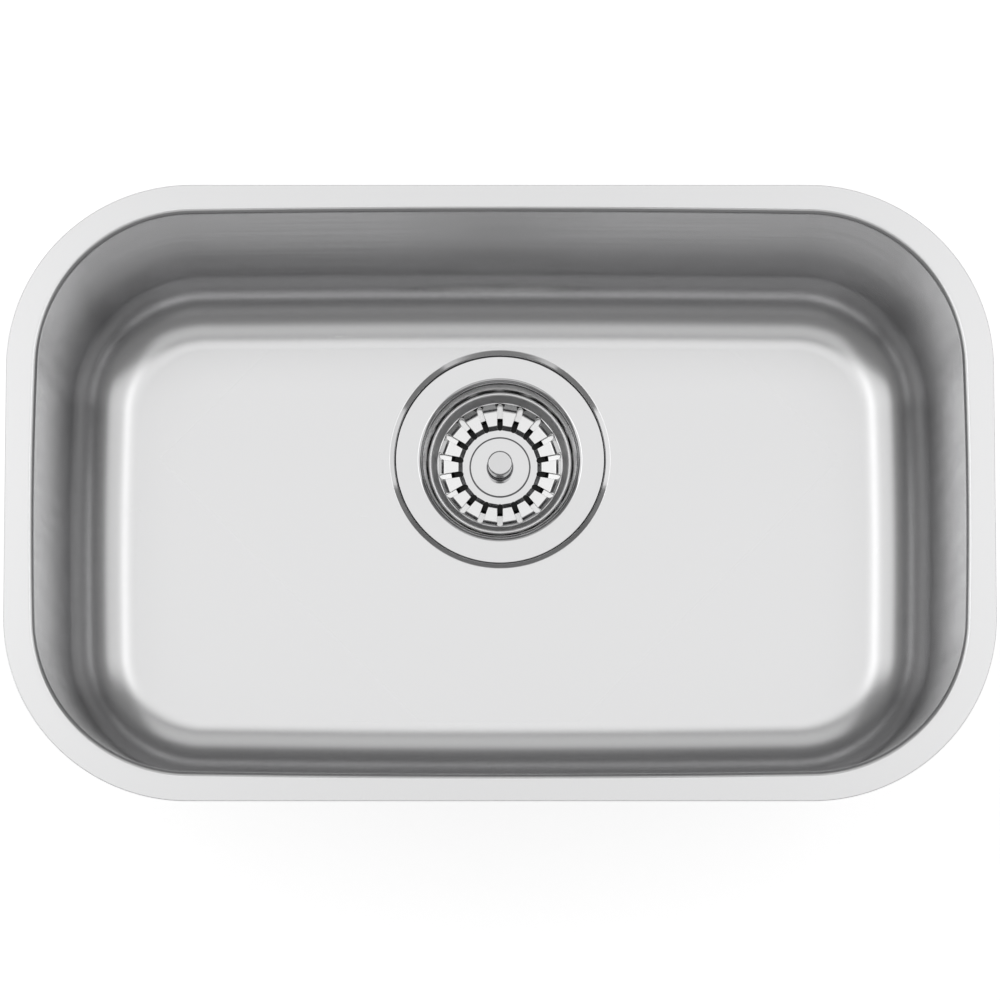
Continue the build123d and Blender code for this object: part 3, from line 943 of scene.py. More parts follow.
    def _rim(self) -> None:
        """The flat flange and the bend from it into the wall."""
        still = np.zeros_like(self.outline)
        reach = self.rim_bend / math.cos(self.draft) - self.rim_bend * math.tan(self.draft)
        inner = self.outline + self.outward * reach
        outer = self.flange - self.flange_outward * self.edge_round
        for part in self.flange_parts:
            self._add(outer + (inner - outer) * part, 0.0, still, 1.0)
        for step in range(1, self.rim_steps + 1):
            turn = (math.pi / 2 - self.draft) * step / self.rim_steps
            across, up = math.sin(turn), math.cos(turn)
            flat = self.outline + self.outward * (reach - self.rim_bend * across)
            self._add(flat, self.rim_bend * (up - 1), -self.outward * across, up)

    def _fillet(self) -> np.ndarray:
        """The wall and the large fillet at its foot; hands back the line where the floor begins.

        Returns:
            The places where the fillet ends.
        """
        lean, count = math.tan(self.draft), len(self.outward)
        rise = np.full((count, 1), math.sin(self.draft))
        wall_normal = np.concatenate([-self.outward * math.cos(self.draft), rise], axis=1)
        fall = np.concatenate([self.outward * lean, np.ones((count, 1))], axis=1)
        base = np.concatenate([self.outline, np.zeros((count, 1))], axis=1) + self.fillet * wall_normal
        # the fillet is the path of a ball that touches the wall and the dished floor
        dish_centre = np.array([0.0, DRAIN_Y, self.dish - self.depth])
        away = base - dish_centre
        a = (fall * fall).sum(1)
        b = 2 * (fall * away).sum(1)
        c = (away * away).sum(1) - (self.dish - self.fillet) ** 2
        centre = base + fall * ((-b - np.sqrt(b * b - 4 * a * c)) / (2 * a))[:, None]
        floor_normal = dish_centre - centre
        floor_normal /= np.linalg.norm(floor_normal, axis=1, keepdims=True)
        top = -self.rim_bend * (1 - math.sin(self.draft))
        foot = centre - self.fillet * wall_normal
        head = self.outline + self.outward * (top * lean)
        for part in self.wall_parts:
            flat = head + (foot[:, :2] - head) * part
            self._add(flat, top + (foot[:, 2] - top) * part, wall_normal[:, :2], wall_normal[:, 2])
        angle = np.arccos(np.clip((wall_normal * floor_normal).sum(1), -1, 1))[:, None]
        for step in range(self.fillet_steps + 1):
            part = step / self.fillet_steps
            normal = wall_normal * np.sin((1 - part) * angle) + floor_normal * np.sin(part * angle)
            normal /= np.sin(angle)
            point = centre - self.fillet * normal
            self._add(point[:, :2], point[:, 2], normal[:, :2], normal[:, 2])
        return centre - self.fillet * floor_normal

    def _floor(self, edge: np.ndarray) -> None:
        """The dished floor and the strainer's recess.

        Args:
            edge: The places where the fillet ends.
        """
        spokes = -self._towards_drain(edge)
        centre = DRAIN_PLACE[None, :2]
        edge_radius, edge_bend = self.recess_edge
        step_radius, step_fall, step_bend = self.recess_step
        bottom = -self.depth - self.recess_depth
        top_radius = edge_radius + 1.0
        rim = centre + spokes * top_radius
        for part in np.linspace(0, 1, self.floor_steps + 1)[1:]:
            flat = edge[:, :2] + (rim - edge[:, :2]) * part
            out = flat - centre
            radius = np.linalg.norm(out, axis=1)
            up = np.sqrt(1 - (radius / self.dish) ** 2)
            self._add(flat, self._dish_level(radius), -out / self.dish, up)
        corners = [
            (top_radius, self._dish_level(top_radius), 0.0),
            (edge_radius, self._dish_level(edge_radius), edge_bend),
            (step_radius, self._dish_level(edge_radius) - step_fall, step_bend),
            (self.recess_foot[0], bottom, self.recess_foot[1]),
            (self.drain_hole + self.edge_round, bottom, 0.0),
        ]
        recess = Outline.rounded(corners, closed=False, steps=self.recess_steps)
        for (radius, level), (across, up) in zip(recess.points[1:], recess.normals[1:]):
            self._add(centre + spokes * radius, level, spokes * across, up)

    def _dish_level(self, radius: Any) -> Any:
        """The floor's level at a distance from the drain's axis."""
        return self.dish - self.depth - np.sqrt(self.dish**2 - np.square(radius))

    @staticmethod
    def _towards_drain(points: np.ndarray) -> np.ndarray:
        """Level directions from some places towards the drain's axis."""
        inward = DRAIN_PLACE[None, :2] - points[:, :2]
        return inward / np.linalg.norm(inward, axis=1, keepdims=True)

    def _cut_edge(
        self, first: tuple[np.ndarray, np.ndarray], last: tuple[np.ndarray, np.ndarray], out: np.ndarray
    ) -> list[tuple[np.ndarray, np.ndarray]]:
        """Rows of the rounded cut edge that joins the two faces of the sheet.

        Args:
            first: The row that the edge starts from.
            last: The row that it ends at.
            out: Level directions out of the cut.

        Returns:
            The rows between them.
        """
        out = np.concatenate([out, np.zeros((len(out), 1))], axis=1)
        rows = []
        for (points, normals), turns in ((first, self.cut_turns), (last, self.cut_turns[::-1])):
            for turn in turns:
                spoke = normals * math.cos(turn * math.pi / 2) + out * math.sin(turn * math.pi / 2)
                rows.append((points + (spoke - normals) * self.edge_round, spoke))
        return rows


# ---------------------------------------------------------------------------- strainer


@dataclass(frozen=True)
class Thread:
    """A thread cut into the outside of a turned piece, between two levels."""

    radius: float
    top: float
    bottom: float
    pitch: float = 2.8
    depth: float = 0.7
    run_out: float = 1.6
    sharpness: float = 1.5
    rows_per_turn: int = 10

    def levels(self) -> list[tuple[float, float, float]]:
        """The outline's extra places down the thread, from its bottom up."""
        count = int((self.top - self.bottom) / self.pitch * self.rows_per_turn)
        return [(self.radius, level, 0.0) for level in np.linspace(self.bottom, self.top, count)]

    def cut(self, places: np.ndarray) -> np.ndarray:
        """Push the outside's places inwards along a helix that fades at both ends.

        Args:
            places: The turned piece's rows of places.

        Returns:
            The rows with the thread in them.
        """
        away = places - DRAIN_PLACE
        radius = np.linalg.norm(away[..., :2], axis=-1)
        level = away[..., 2]
        turn = np.arctan2(away[..., 1], away[..., 0]) / (2 * math.pi)
        wave = 0.5 - 0.5 * np.cos(2 * math.pi * (level / self.pitch - turn))
        fade = np.clip((self.top - level) / self.run_out, 0, 1)
        fade *= np.clip((level - self.bottom) / self.run_out, 0, 1)
        on_thread = (abs(radius - self.radius) < 0.05) & (fade > 0)
        push = np.where(on_thread, self.depth * wave**self.sharpness * fade, 0.0)
        shift = away[..., :2] / np.maximum(radius, 1e-6)[..., None] * push[..., None]
        return np.concatenate([places[..., :2] - shift, places[..., 2:]], axis=-1)


@dataclass
class Strainer:
    """The strainer's body: its flange, throat, shelf, seat, outlet and threads."""

    flange_radius: float = 57.2
    flange_foot: float = 56.5
    flange_thickness: float = 1.5
    flange_round: float = 0.4
    throat_top: float = 42.4
    mouth_fall: float = 0.8
    mouth_bend: float = 3.6
    throat: tuple[float, float] = (40.5, -12.0)
    seat_top: tuple[float, float] = (40.2, -28.4)
    seat_shelf: tuple[tuple[float, float], ...] = ((37.4, -30.96), (27.0, -32.05), (26.2, -35.45))
    seat_bottom: tuple[float, float] = (21.5, -38.0)
    outlet: float = 20.0
    outlet_end: float = -58.0
    outlet_chamfer: float = 0.75
    ledge: tuple[float, float] = (18.4, -46.5)
    under_bend: float = 3.2
    wall: float = 1.4
    cup_thread: Thread = Thread(radius=43.8, top=-5.6, bottom=-25.5)
    outlet_thread: Thread = Thread(radius=23.6, top=-40.6, bottom=-57.2)
    segments: int = 256

    def build(self) -> None:
        """Turn the body's outline and cut the two threads into it."""
        cup, outlet, chamfer = self.cup_thread.radius, self.outlet_thread.radius, self.outlet_chamfer
        # radius, level and rounding of each corner, in over the flange, down inside and up outside
        corners = [
            (self.flange_foot, -self.flange_thickness, 0.15),
            (self.flange_radius, 0.0, self.flange_round),
            (self.throat_top, -self.mouth_fall, self.mouth_bend),
            (*self.throat, 4.0),
            (*self.seat_top, 1.5),
            *((*corner, 0.4) for corner in self.seat_shelf),
            (*self.seat_bottom, 0.6),
            (self.outlet, self.seat_bottom[1] - 1.5, 0.5),
            (self.outlet, self.ledge[1], 0.1),
            (*self.ledge, 0.2),
            (self.ledge[0], self.outlet_end, 0.3),
            (outlet - chamfer, self.outlet_end, 0.15),
            (outlet, self.outlet_end + chamfer, 0.15),
            (outlet, self._underside(outlet), 0.6),
            (cup, self._underside(cup), 1.0),
            (cup, -self.flange_thickness, self.under_bend),
        ]
        outline = Outline.rounded(corners, steps=6)
        outline = self._with_levels(outline, self.outlet_thread)
        outline = self._with_levels(outline, self.cup_thread)
        places, directions = outline.turned(self.segments)
        for thread in (self.cup_thread, self.outlet_thread):
            cut = thread.cut(places)
            moved = np.abs(cut - places).max(axis=(1, 2)) > 0
            down = np.roll(cut, -1, axis=0) - np.roll(cut, 1, axis=0)
            along = np.roll(cut, -1, axis=1) - np.roll(cut, 1, axis=1)
            facing = np.cross(along, down)
            facing /= np.linalg.norm(facing, axis=-1, keepdims=True)
            directions = np.where(moved[:, None, None], facing, directions)
            places = cut
        cup_piece = Skin.closed(places, directions).build("strainer_cup")
        place_piece(cup_piece, "sink", "polished_steel", "strainer_body", CUP_STEEL)

    def _underside(self, radius: float) -> float:
        """The level of the cup's conical underside at a radius."""
        fall = (self.seat_top[1] - self.seat_bottom[1]) / (self.seat_top[0] - self.seat_bottom[0])
        return self.seat_top[1] - (self.seat_top[0] - radius) * fall - self.wall * math.hypot(1, fall)

    @staticmethod
    def _with_levels(outline: Outline, thread: Thread) -> Outline:
        """Add a thread's places to the straight run of the outline that it is cut into.

        Args:
            outline: The outline.
            thread: The thread.

        Returns:
            The outline with the thread's places.
        """
        added = np.array([level[:2] for level in thread.levels()])
        on_run = np.abs(outline.points[:, 0] - thread.radius) < 0.01
        below = np.flatnonzero(on_run & (outline.points[:, 1] < thread.bottom))[-1] + 1
        points = np.insert(outline.points, below, added, axis=0)
        normals = np.insert(outline.normals, below, np.broadcast_to([1.0, 0.0], added.shape), axis=0)
        return Outline(points, normals)


# ---------------------------------------------------------------------------- basket


@dataclass
class Basket:
    """The slotted basket: a faceted sheet with a rolled rim and a raised middle."""

    sheet: float = 0.8
    slots: int = 18
    slot_half: float = 1.5
    slot_ends: tuple[float, float] = (22.0, 32.4)
    edge_round: float = 0.12
    bend: float = 0.7
    floor: tuple[float, float] = (20.9, -32.0)
    facet_bend: tuple[float, float] = (23.3, -30.2)
    facet_hollow: tuple[float, float] = (32.0, -29.36)
    hollow_radius: float = 1.6
    band_bottom: tuple[float, float] = (34.2, -21.5)
    band_top: tuple[float, float] = (37.5, -15.2)
    ledge: float = 0.23
    rim: tuple[float, float] = (38.3, -15.2)
    rim_bead: float = 1.2
    disc: float = 16.1
    disc_height: float = 0.5
    groove: tuple[float, float] = (0.7, 0.3)
    hole: float = 2.9
    columns: int = 7
    bend_steps: int = 12
    flat_rows: tuple[float, ...] = (18.0, 19.6)
    bend_rows: tuple[tuple[float, float, int], ...] = (
        (20.6, 21.6, 10),
        (23.05, 24.1, 10),
        (30.6, 33.2, 18),
    )
    band_rows: tuple[float, ...] = (34.1, 34.15, 34.19, 34.24, 34.29)
    band_rows_below: tuple[float, ...] = (34.4, 34.82, 34.88, 34.93, 34.98, 35.04)
    closest_rows: float = 0.02
    edge_turns: tuple[float, ...] = (0.0, 30.0, 60.0, 90.0)

    def build(self) -> None:
        """Make one slot's share of the sheet and repeat it round the axis."""
        self.half_angle = math.pi / self.slots
        self.slope = math.tan(self.half_angle)
        self.upper = self._facet_outline(self._upper_corners(), self.bend, 1.0)
        self.lower = self._facet_outline(self._lower_corners(), self.bend + self.sheet, -1.0)
        self.plan, self.edge, self.edge_out = self._plan()
        share = self._half_share()
        slot = self._slot_wall()
        skin = Skin()
        for number in range(self.slots):
            turn = math.pi / 2 + 2 * self.half_angle * number
            cos, sin = math.cos(turn), math.sin(turn)
            for side in (1.0, -1.0):
                spin = np.array([[cos, sin, 0], [-side * sin, side * cos, 0], [0, 0, 1]])
                for points, normals in (share, slot):
                    skin.add(points @ spin + DRAIN_PLACE, normals @ spin, mirrored=side < 0)
        place_piece(skin.build("slotted_basket"), "basket", "polished_steel", "basket_shell", BASKET_STEEL)

    def _upper_corners(self) -> list[np.ndarray]:
        """The inside of the sheet from the floor to the rim, at a facet's corner.

        Returns:
            Radius and level of each corner.
        """
        floor = np.array(self.floor)
        rest = (self.facet_bend, self.facet_hollow, self.band_bottom, self.band_top)
        return [floor * (0, 1), floor] + [np.array(corner) for corner in rest]

    def _lower_corners(self) -> list[np.ndarray]:
        """The outside of the sheet, with mitred corners.

        Returns:
            Radius and level of each corner.
        """
        inside = self._upper_corners()
        rights = []
        for start, end in zip(inside, inside[1:]):
            heading = (end - start) / np.linalg.norm(end - start)
            rights.append(np.array([heading[1], -heading[0]]))
        moved = [inside[0] + rights[0] * self.sheet]
        for corner, before, after in zip(inside[1:-1], rights, rights[1:]):
            moved.append(corner + (before + after) * (self.sheet / (1 + before @ after)))
        return moved + [inside[-1] + rights[-1] * self.sheet]

    def _facet_outline(self, corners: list[np.ndarray], bend: float, facing: float) -> Outline:
        """The rounded line up a facet's corner, which ends on the small ledge at the band.

        Args:
            corners: The line's corners before rounding.
            bend: The rounding of the two bends.
            facing: 1 for the upper face, and -1 for the lower.

        Returns:
            The line, with normals that face up or down.
        """
        rounding = (0, bend, bend, self.hollow_radius, 0.2)
        path = [(*corner, radius) for corner, radius in zip(corners, rounding)]
        path.append((*(corners[4] + np.array([1.0, 0.0])), 0))
        line = Outline.rounded(path, closed=False, steps=self.bend_steps)
        return Outline(line.points, line.normals * -facing)

    def _plan(self) -> tuple[list[np.ndarray], np.ndarray, np.ndarray]:
        """Rows in plan from a slot's edge to its facet's middle, and the slot's edge itself.

        Returns:
            The rows in plan, the places where they start and the directions into the sheet there.
        """
        inner, outer = self.slot_ends
        width = self.slot_half + self.edge_round
        count, every = 181, 15
        turns = np.linspace(0, math.pi / 2, count)
        start_out = np.stack([-np.cos(turns), np.sin(turns)], axis=1)
        stop_out = np.stack([np.sin(turns), np.cos(turns)], axis=1)
        out = np.concatenate([start_out, stop_out])
        edge = np.concatenate([(inner, 0.0) + width * start_out, (outer, 0.0) + width * stop_out])
        reach = edge[:, 0] + edge[:, 1] * self.slope
        top = int(np.argmax(reach))
        sampled = [*reach[0:count:every], *reach[count : top + 1 : every], reach[top]]
        bends = [value for bend in self.bend_rows for value in np.linspace(*bend)]
        reaches = [reach[0]]
        for value in sorted(sampled + bends):
            if value > reaches[-1] + self.closest_rows:
                reaches.append(value)

        def at_reaches(pairs: np.ndarray) -> list[np.ndarray]:
            """A value along the slot's edge, where the rows start."""
            ends = [np.interp(reaches, reach[: top + 1], pairs[: top + 1, axis]) for axis in (0, 1)]
            return list(np.stack(ends, axis=1))

        places, outs, middles = at_reaches(edge), at_reaches(out), list(reaches)
        # beyond its farthest reach the slot's end turns back, and two more rows close it
        for index, step in ((-9, 0.012), (-1, 0.024)):
            places.append(edge[index])
            outs.append(out[index])
            middles.append(reach[top] + step)
        rows = [self._row(place, middle) for place, middle in zip(places, middles)]
        return rows, np.array(places), np.array(outs)

    def _row(self, start: np.ndarray, middle: float) -> np.ndarray:
        """A straight row in plan from a place to the middle of the facet.

        Args:
            start: The place in plan.
            middle: How far the facet reaches out where the row ends, on its middle line.

        Returns:
            The row's places in plan.
        """
        cos, sin = math.cos(self.half_angle), math.sin(self.half_angle)
        end = middle * cos * np.array([cos, sin])
        return start + (end - start) * np.linspace(0, 1, self.columns)[:, None]

    def _on_facets(self, rows: np.ndarray, outline: Outline) -> tuple[np.ndarray, np.ndarray]:
        """Lift rows in plan on to the facets that follow an outline.

        Args:
            rows: Places in plan.
            outline: Level and direction by reach, measured along the slot's middle line.

        Returns:
            The places on the facets and their directions.
        """
        reach = rows[..., 0] + rows[..., 1] * self.slope
        level, across, up = (
            np.interp(reach, outline.points[:, 0], values)
            for values in (outline.points[:, 1], outline.normals[:, 0], outline.normals[:, 1])
        )
        normals = np.stack([across, across * self.slope, up], axis=-1)
        normals /= np.linalg.norm(normals, axis=-1, keepdims=True)
        return np.concatenate([rows, level[..., None]], axis=-1), normals

    def _round_rows(self, outline: Outline) -> tuple[np.ndarray, np.ndarray]:
        """Rows on round parts of the sheet, over half a slot's share of the turn."""
        return outline.at_angles(self.half_angle * np.linspace(0, 1, self.columns))

    def _half_share(self) -> tuple[np.ndarray, np.ndarray]:
        """All rows round the sheet's section, from the middle out below and back above.

        Returns:
            Rows of places and of directions.
        """
        floor, disc_top = self.floor[1], self.floor[1] + self.disc_height
        under, near = floor - self.sheet, self.disc + 1.0
        groove_width, groove_depth = self.groove
        corners = [
            (near, floor, 0),
            (self.disc + groove_width, floor, 0.1),
            (self.disc + groove_width, floor - groove_depth, 0.1),
            (self.disc, floor - groove_depth, 0.1),
            (self.disc, disc_top, 0.16),
            (self.hole, disc_top, 0.1),
            (self.hole, under, 0.1),
            (near, under, 0),
        ]
        middle = Outline.rounded(corners, closed=False, steps=4)
        before, above, below = (
            [self._row(np.array([value, 0.0]), value) for value in values]
            for values in (self.flat_rows, self.band_rows, self.band_rows_below)
        )
        lower = self._on_facets(np.array(before + self.plan + below), self.lower)
        upper = self._on_facets(np.array(before + self.plan + above)[::-1], self.upper)
        parts = [self._round_rows(middle), lower, self._round_rows(self._rim_outline()), upper]
        points = np.concatenate([part[0] for part in parts] + [parts[0][0][:1]])
        normals = np.concatenate([part[1] for part in parts] + [parts[0][1][:1]])
        return points, normals

    def _rim_outline(self) -> Outline:
        """The band's two faces and the rolled rim between them.

        Returns:
            The section, from the band's foot outside to its foot inside.
        """
        foot_in = np.array(self.band_bottom) + (self.ledge, 0.0)
        top_in = np.array(self.band_top)
        heading = (top_in - foot_in) / np.linalg.norm(top_in - foot_in)
        right = np.array([heading[1], -heading[0]])
        foot_out, top_out = self._lower_corners()[4] + (self.ledge, 0.0), top_in + right * self.sheet
        rim = np.array(self.rim)

        def meet(foot: np.ndarray, top: np.ndarray) -> np.ndarray:
            """Where a band's line enters the rolled rim.

            Args:
                foot: The line's foot.
                top: A place on the line above it.

            Returns:
                The place where the line meets the rim's bead.
            """
            line = (top - foot) / np.linalg.norm(top - foot)
            along = float((rim - foot) @ line)
            nearest = foot + line * along
            return nearest - line * math.sqrt(self.rim_bead**2 - float((rim - nearest) @ (rim - nearest)))

        start, stop = meet(foot_out, top_out) - rim, meet(foot_in, top_in) - rim
        low = math.atan2(start[1], start[0])
        high = math.atan2(stop[1], stop[0]) % (2 * math.pi)
        turns = np.linspace(low, high, 26)
        spokes = np.stack([np.cos(turns), np.sin(turns)], axis=1)
        lead_out, lead_in = foot_out - (0.04, 0.0), foot_in - (0.12, 0.0)
        outer, inner = (
            Outline.rounded([(*first, 0), (*corner, bend), (*last, 0)], closed=False, steps=4)
            for first, corner, bend, last in (
                (lead_out, foot_out, 0.2, rim + start),
                (rim + stop, foot_in, 0.15, lead_in),
            )
        )
        return Outline(
            np.concatenate([outer.points[1:], rim + spokes[1:-1] * self.rim_bead, inner.points[:-1]]),
            np.concatenate([outer.normals[1:], spokes[1:-1], inner.normals[:-1]]),
        )

    def _slot_wall(self) -> tuple[np.ndarray, np.ndarray]:
        """One side of a slot: its rounded edges and the punched wall between them.

        Returns:
            Rows of places and of directions.
        """
        rows = []
        inward = -self.edge_out
        turns = np.radians(self.edge_turns)
        for outline, outline_turns, sign in ((self.upper, turns, -1.0), (self.lower, turns[::-1], 1.0)):
            for turn in outline_turns:
                plan = self.edge + inward * (self.edge_round * math.sin(turn))
                points, normals = self._on_facets(plan, outline)
                points[:, 2] += sign * self.edge_round * (1 - math.cos(turn))
                level_inward = np.concatenate([inward, np.zeros((len(inward), 1))], axis=1)
                normals = normals * math.cos(turn) + level_inward * math.sin(turn)
                rows.append((points, normals / np.linalg.norm(normals, axis=1, keepdims=True)))
        # the columns run back along the slot's edge, so that the wall faces the slot
        points = np.stack([points[::-1] for points, _ in rows])
        return points, np.stack([normals[::-1] for _, normals in rows])


@dataclass
class Knob:
    """The turned knob in the middle of the basket."""

    radius: float = 6.8
    foot: float = -31.5
    height: float = 18.0
    base: tuple[float, float] = (7.2, 1.5)
    waist: tuple[float, float] = (6.6, 3.2)
    bore: tuple[float, float] = (2.8, 10.0)

    def build(self) -> None:
        """Turn the knob."""
        waist_foot = self.foot + self.base[1]
        waist_top = waist_foot + self.waist[1]
        corners = [
            (0.0, self.foot + self.bore[1], 0),
            (self.bore[0], self.foot + self.bore[1], 0.1),
            (self.bore[0], self.foot, 0.1),
            (self.base[0], self.foot, 0.12),
            (self.base[0], waist_foot, 0.5),
            (self.waist[0], waist_foot, 0.8),
            (self.waist[0], waist_top, 0.5),
            (self.radius, waist_top + self.radius - self.waist[0], 0.5),
            (self.radius, self.foot + self.height, 0.9),
            (0.0, self.foot + self.height, 0),
        ]
        outline = Outline.rounded(corners, closed=False, steps=7)
        knob = outline.revolve("turned_knob", closed=False, segments=96)
        place_piece(knob, "basket", "polished_steel", "knob", KNOB_STEEL)


# ---------------------------------------------------------------------------- other pieces


@dataclass(frozen=True)
class Place:
    """Where a piece belongs: its new name, the CAD node it stands for, its body and its slot."""

    name: str
    node: str
    body: str
    slot: str


@dataclass(frozen=True)
class TurnedPiece:
    """A ring, washer, tube or post, turned about the drain's axis from its rounded section."""

    place: Place
    finish: Finish
    corners: Section

    def build(self) -> None:
        """Turn the section and put the piece in its node's place."""
        piece = Outline.rounded(self.corners, steps=4).revolve(self.place.name, segments=160)
        place_piece(piece, self.place.body, self.place.slot, self.place.node, self.finish)


def ring(inner: float, outer: float, top: float, thickness: float, edge: float) -> Section:
    """The section of a flat ring.

    Args:
        inner: Its bore's radius.
        outer: Its outer radius.
        top: The depth of its top below the strainer's top.
        thickness: How thick it is.
        edge: The rounding of its edges.

    Returns:
        The section's corners.
    """
    bottom = top + thickness
    return ((inner, -bottom, edge), (outer, -bottom, edge), (outer, -top, edge), (inner, -top, edge))


@dataclass(frozen=True)
class SoftenedPiece:
    """A piece with its CAD node's own shape, whose sharp edges are rounded."""

    place: Place
    finish: Finish
    edge: float
    edge_steps: int = 3
    sharp_angle: float = math.radians(32.0)
    flat_angle: float = math.radians(1.0)

    def build(self, frame: dict[str, Any]) -> None:
        """Copy the node's mesh, round its edges and put the piece in its place.

        Args:
            frame: The loaded CAD frame.
        """
        work = bmesh.new()
        work.from_mesh(frame["nodes"][self.place.node].data)
        bmesh.ops.remove_doubles(work, verts=work.verts, dist=WELD_DISTANCE)
        bmesh.ops.dissolve_limit(work, angle_limit=self.flat_angle, verts=work.verts, edges=work.edges)
        mesh = bpy.data.meshes.new(self.place.name)
        work.to_mesh(mesh)
        work.free()
        for name in ("custom_normal", "sharp_face", "sharp_edge"):
            if name in mesh.attributes:
                mesh.attributes.remove(mesh.attributes[name])
        mesh.shade_smooth()
        piece = bpy.data.objects.new(self.place.name, mesh)
        bpy.context.scene.collection.objects.link(piece)
        rounding = piece.modifiers.new("rounded_edges", "BEVEL")
        rounding.width = self.edge * MILLIMETRE
        rounding.segments = self.edge_steps
        rounding.limit_method = "ANGLE"
        rounding.angle_limit = self.sharp_angle
        rounding.harden_normals = True
        rounding.use_clamp_overlap = False
        place_piece(piece, self.place.body, self.place.slot, self.place.node, self.finish)


@dataclass(frozen=True)
class Fittings:
    """Everything that clamps, seals and drains the strainer, and the sound pads."""

    gasket: Section = ring(47.6, 55.9, top=1.5, thickness=1.0, edge=0.3)
    rubber: Section = ring(44.4, 55.0, top=3.5, thickness=3.0, edge=0.7)
    friction: Section = ring(44.4, 54.0, top=6.5, thickness=1.0, edge=0.25)
    washer: Section = ring(18.05, 23.0, top=58.0, thickness=2.0, edge=0.4)
    plate: Section = ring(2.9, 14.0, top=36.3, thickness=1.0, edge=0.3)
    tube: tuple[float, float] = (18.05, 19.05)
    tube_flange: tuple[float, float] = (22.6, 1.4)
    tube_ends: tuple[float, float] = (60.0, 161.6)
    seal_bore: float = 2.9
    seal_rim: tuple[float, float] = (25.5, 35.61)
    seal_bevel: float = 24.15
    seal_depths: tuple[float, float] = (32.8, 36.3)
    stem: float = 2.8
    stem_ends: tuple[float, float] = (21.5, 53.5)
    stem_foot: tuple[float, float] = (4.2, 2.2)
    stem_foot_round: float = 1.0

    def turned(self) -> list[TurnedPiece]:
        """The turned pieces.

        Returns:
            Each turned piece, ready to build.
        """
        bore, tube = self.tube
        flange, thickness = self.tube_flange
        top, end = self.tube_ends
        tail = (
            (bore, -end, 0.3),
            (tube, -end, 0.3),
            (tube, -top - thickness, 1.2),
            (flange, -top - thickness, 0.4),
            (flange, -top, 0.4),
            (bore, -top, 0.4),
        )
        seal_top, seal_foot = self.seal_depths
        seal = (
            (self.seal_bore, -seal_foot, 0.2),
            (self.seal_bevel, -seal_foot, 0.3),
            (self.seal_rim[0], -self.seal_rim[1], 0.5),
            (self.seal_rim[0], -seal_top, 0.4),
            (self.seal_bore, -seal_top, 0.2),
        )
        stem_top, stem_end = self.stem_ends
        foot, foot_height = self.stem_foot
        stem = (
            (0.0, -stem_end, 0.0),
            (foot, -stem_end, self.stem_foot_round),
            (foot, foot_height - stem_end, 0.3),
            (self.stem, foot_height - stem_end, 0.3),
            (self.stem, -stem_top, 0.4),
            (0.0, -stem_top, 0.0),
        )
        pieces = (
            ("foam_ring", "flange_gasket", "sink", "grey_foam", GREY_FOAM, self.gasket),
            ("rubber_ring", "sink_gasket", "sink", "black_rubber", BLACK_RUBBER, self.rubber),
            ("slip_ring", "friction_ring", "sink", "white_plastic", WHITE_PLASTIC, self.friction),
            ("outlet_washer", "tail_washer", "sink", "white_plastic", WHITE_PLASTIC, self.washer),
            ("clamp_plate", "seal_plate", "basket", "plain_steel", PLAIN_STEEL, self.plate),
            ("outlet_tube", "tail_piece", "sink", "chrome_tube", CHROME, tail),
            ("stopper_disc", "basket_seal", "basket", "black_rubber", BLACK_RUBBER, seal),
            ("centre_post", "stem", "basket", "plain_steel", PLAIN_STEEL, stem),
        )
        return [TurnedPiece(Place(*place), finish, corners) for *place, finish, corners in pieces]

    def softened(self) -> list[SoftenedPiece]:
        """The pieces that keep their CAD shape.

        Returns:
            Each softened piece, ready to build.
        """
        pieces = [
            ("outlet_grid", "cross_grid", "sink", "polished_steel", POLISHED_STEEL, 0.3),
            ("clamp_nut", "stem_nut", "basket", "plain_steel", PLAIN_STEEL, 0.25),
            ("split_collar", "stem_clip", "clip", "white_plastic", WHITE_PLASTIC, 0.12),
            ("lugged_nut", "lock_nut", "sink", "grey_plastic", GREY_PLASTIC, 0.6),
            ("ribbed_nut", "coupling_nut", "sink", "grey_plastic", GREY_PLASTIC, 0.5),
        ]
        walls = [f"wall_pad_{side}" for side in ("front", "back", "left", "right")]
        for node in (*walls, "floor_pad_left", "floor_pad_right"):
            pieces.append((f"rubber_{node}", node, "sink", "pad_rubber", PAD_RUBBER, 0.7))
        return [SoftenedPiece(Place(*place), finish, edge) for *place, finish, edge in pieces]

    def build(self, frame: dict[str, Any]) -> None:
        """Make every piece.

        Args:
            frame: The loaded CAD frame.
        """
        for piece in self.turned():
            piece.build()
        for piece in self.softened():
            piece.build(frame)


# ---------------------------------------------------------------------------- studio


@dataclass(frozen=True)
class Panel:
    """A soft lamp that faces the middle of the sink; its sizes and place are in metres."""

    name: str
    size: tuple[float, float]
    place: tuple[float, float, float]
    radiance: float

    def hang(self) -> None:
        """Hang the lamp."""
        lamp = bpy.data.lights.new(self.name, "AREA")
        lamp.shape = "RECTANGLE"
        lamp.size, lamp.size_y = self.size
        # a panel of this power looks as bright as its radiance says
        lamp.energy = self.radiance * self.size[0] * self.size[1] * math.pi
        panel = bpy.data.objects.new(self.name, lamp)
        panel.location = self.place
        panel.rotation_euler = (-Vector(self.place)).to_track_quat("-Z", "Y").to_euler()
        bpy.context.scene.collection.objects.link(panel)


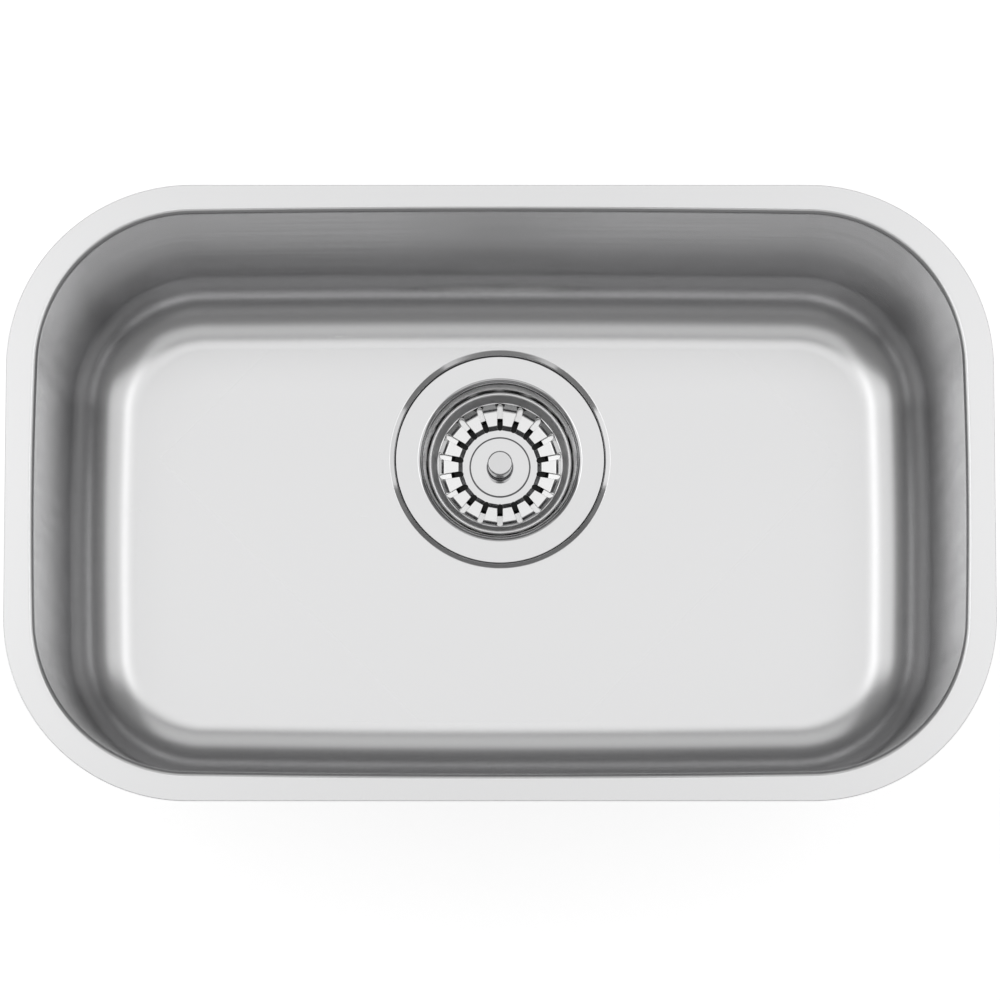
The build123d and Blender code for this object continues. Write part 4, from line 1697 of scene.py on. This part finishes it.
@dataclass
class Studio:
    """The floor, the soft light and the camera at the photograph's angle."""

    tilt: float = math.radians(7.5)
    distance: float = 3.0
    target: Vector = field(default_factory=lambda: Vector((0.0, -0.0048, 0.0)))
    lens_px: float = 5829.0
    frame_px: float = 1000.0
    sensor: float = 36.0
    floor_level: float = -0.3446
    floor_size: float = 14.0
    clip_range: tuple[float, float] = (0.05, 50.0)
    ambient: float = 0.2
    panels: tuple[Panel, ...] = (
        Panel("overhead_panel", (2.4, 1.4), (0.0, 0.4, 2.62), 0.78),
        Panel("front_overhead_panel", (2.4, 1.0), (0.0, -1.15, 2.55), 0.44),
        Panel("back_panel", (2.4, 1.3), (0.0, 2.1, 2.2), 0.42),
        Panel("left_panel", (1.5, 2.2), (-1.65, 0.2, 2.3), 0.72),
        Panel("right_panel", (1.5, 2.2), (1.65, 0.2, 2.3), 0.6),
    )

    def build(self) -> None:
        """Set up the floor, the world, the lamps and the camera."""
        self._floor()
        self._world()
        for panel in self.panels:
            panel.hang()
        self._camera()
        bpy.context.scene.view_settings.view_transform = "Standard"

    def _floor(self) -> None:
        """A plain pale floor under the tail piece."""
        bpy.ops.mesh.primitive_plane_add(size=self.floor_size, location=(0, 0, self.floor_level))
        floor = bpy.context.object
        floor.name = "studio_floor"
        material = FLOOR.build()
        graph = ShaderGraph(material.node_tree)
        surface = material.node_tree.nodes["Principled BSDF"]
        output = material.node_tree.nodes["Material Output"]
        plain = Signal(graph, surface.outputs[0])
        path = graph.add("ShaderNodeLightPath").socket.node.outputs
        mirrored = Signal(graph, path["Is Glossy Ray"]) + Signal(graph, path["Is Transmission Ray"])
        seen = Signal(graph, path["Is Camera Ray"]) + mirrored * FLOOR.mirrored_share
        glow = graph.add("ShaderNodeEmission", inputs={"Color": (1.0, 1.0, 1.0), "Strength": FLOOR.glow})
        glowing = graph.add("ShaderNodeAddShader", inputs={0: plain, 1: glow})
        shader = graph.add("ShaderNodeMixShader", inputs={0: seen, 1: plain, 2: glowing})
        graph.feed(output.inputs["Surface"], shader)
        floor.data.materials.append(material)

    def _world(self) -> None:
        """An even grey surround."""
        world = bpy.data.worlds.new("studio_surround")
        bpy.context.scene.world = world
        world.use_nodes = True
        graph = ShaderGraph(world.node_tree)
        background = world.node_tree.nodes["Background"]
        graph.feed(background.inputs["Color"], (1.0, 1.0, 1.0))
        graph.feed(background.inputs["Strength"], self.ambient)

    def _camera(self) -> None:
        """Stand almost straight above, a little to the front."""
        data = bpy.data.cameras.new("camera")
        data.lens = self.sensor * self.lens_px / self.frame_px
        data.sensor_width = self.sensor
        data.sensor_height = self.sensor
        data.sensor_fit = "HORIZONTAL"
        data.clip_start, data.clip_end = self.clip_range
        camera = bpy.data.objects.new("camera", data)
        view = Vector((0.0, math.sin(self.tilt), -math.cos(self.tilt)))
        camera.location = self.target - view * self.distance
        camera.rotation_euler = (self.tilt, 0.0, 0.0)
        bpy.context.scene.collection.objects.link(camera)
        bpy.context.scene.camera = camera


# ---------------------------------------------------------------------------- main


def main() -> None:
    """Load the frame, build every piece in order and report it."""
    logging.basicConfig(level=logging.INFO, format="%(name)s: %(message)s")
    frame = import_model()
    SinkBowl().build()
    Strainer().build()
    Basket().build()
    Knob().build()
    Fittings().build(frame)
    Studio().build()


if __name__ == "__main__":
    main()
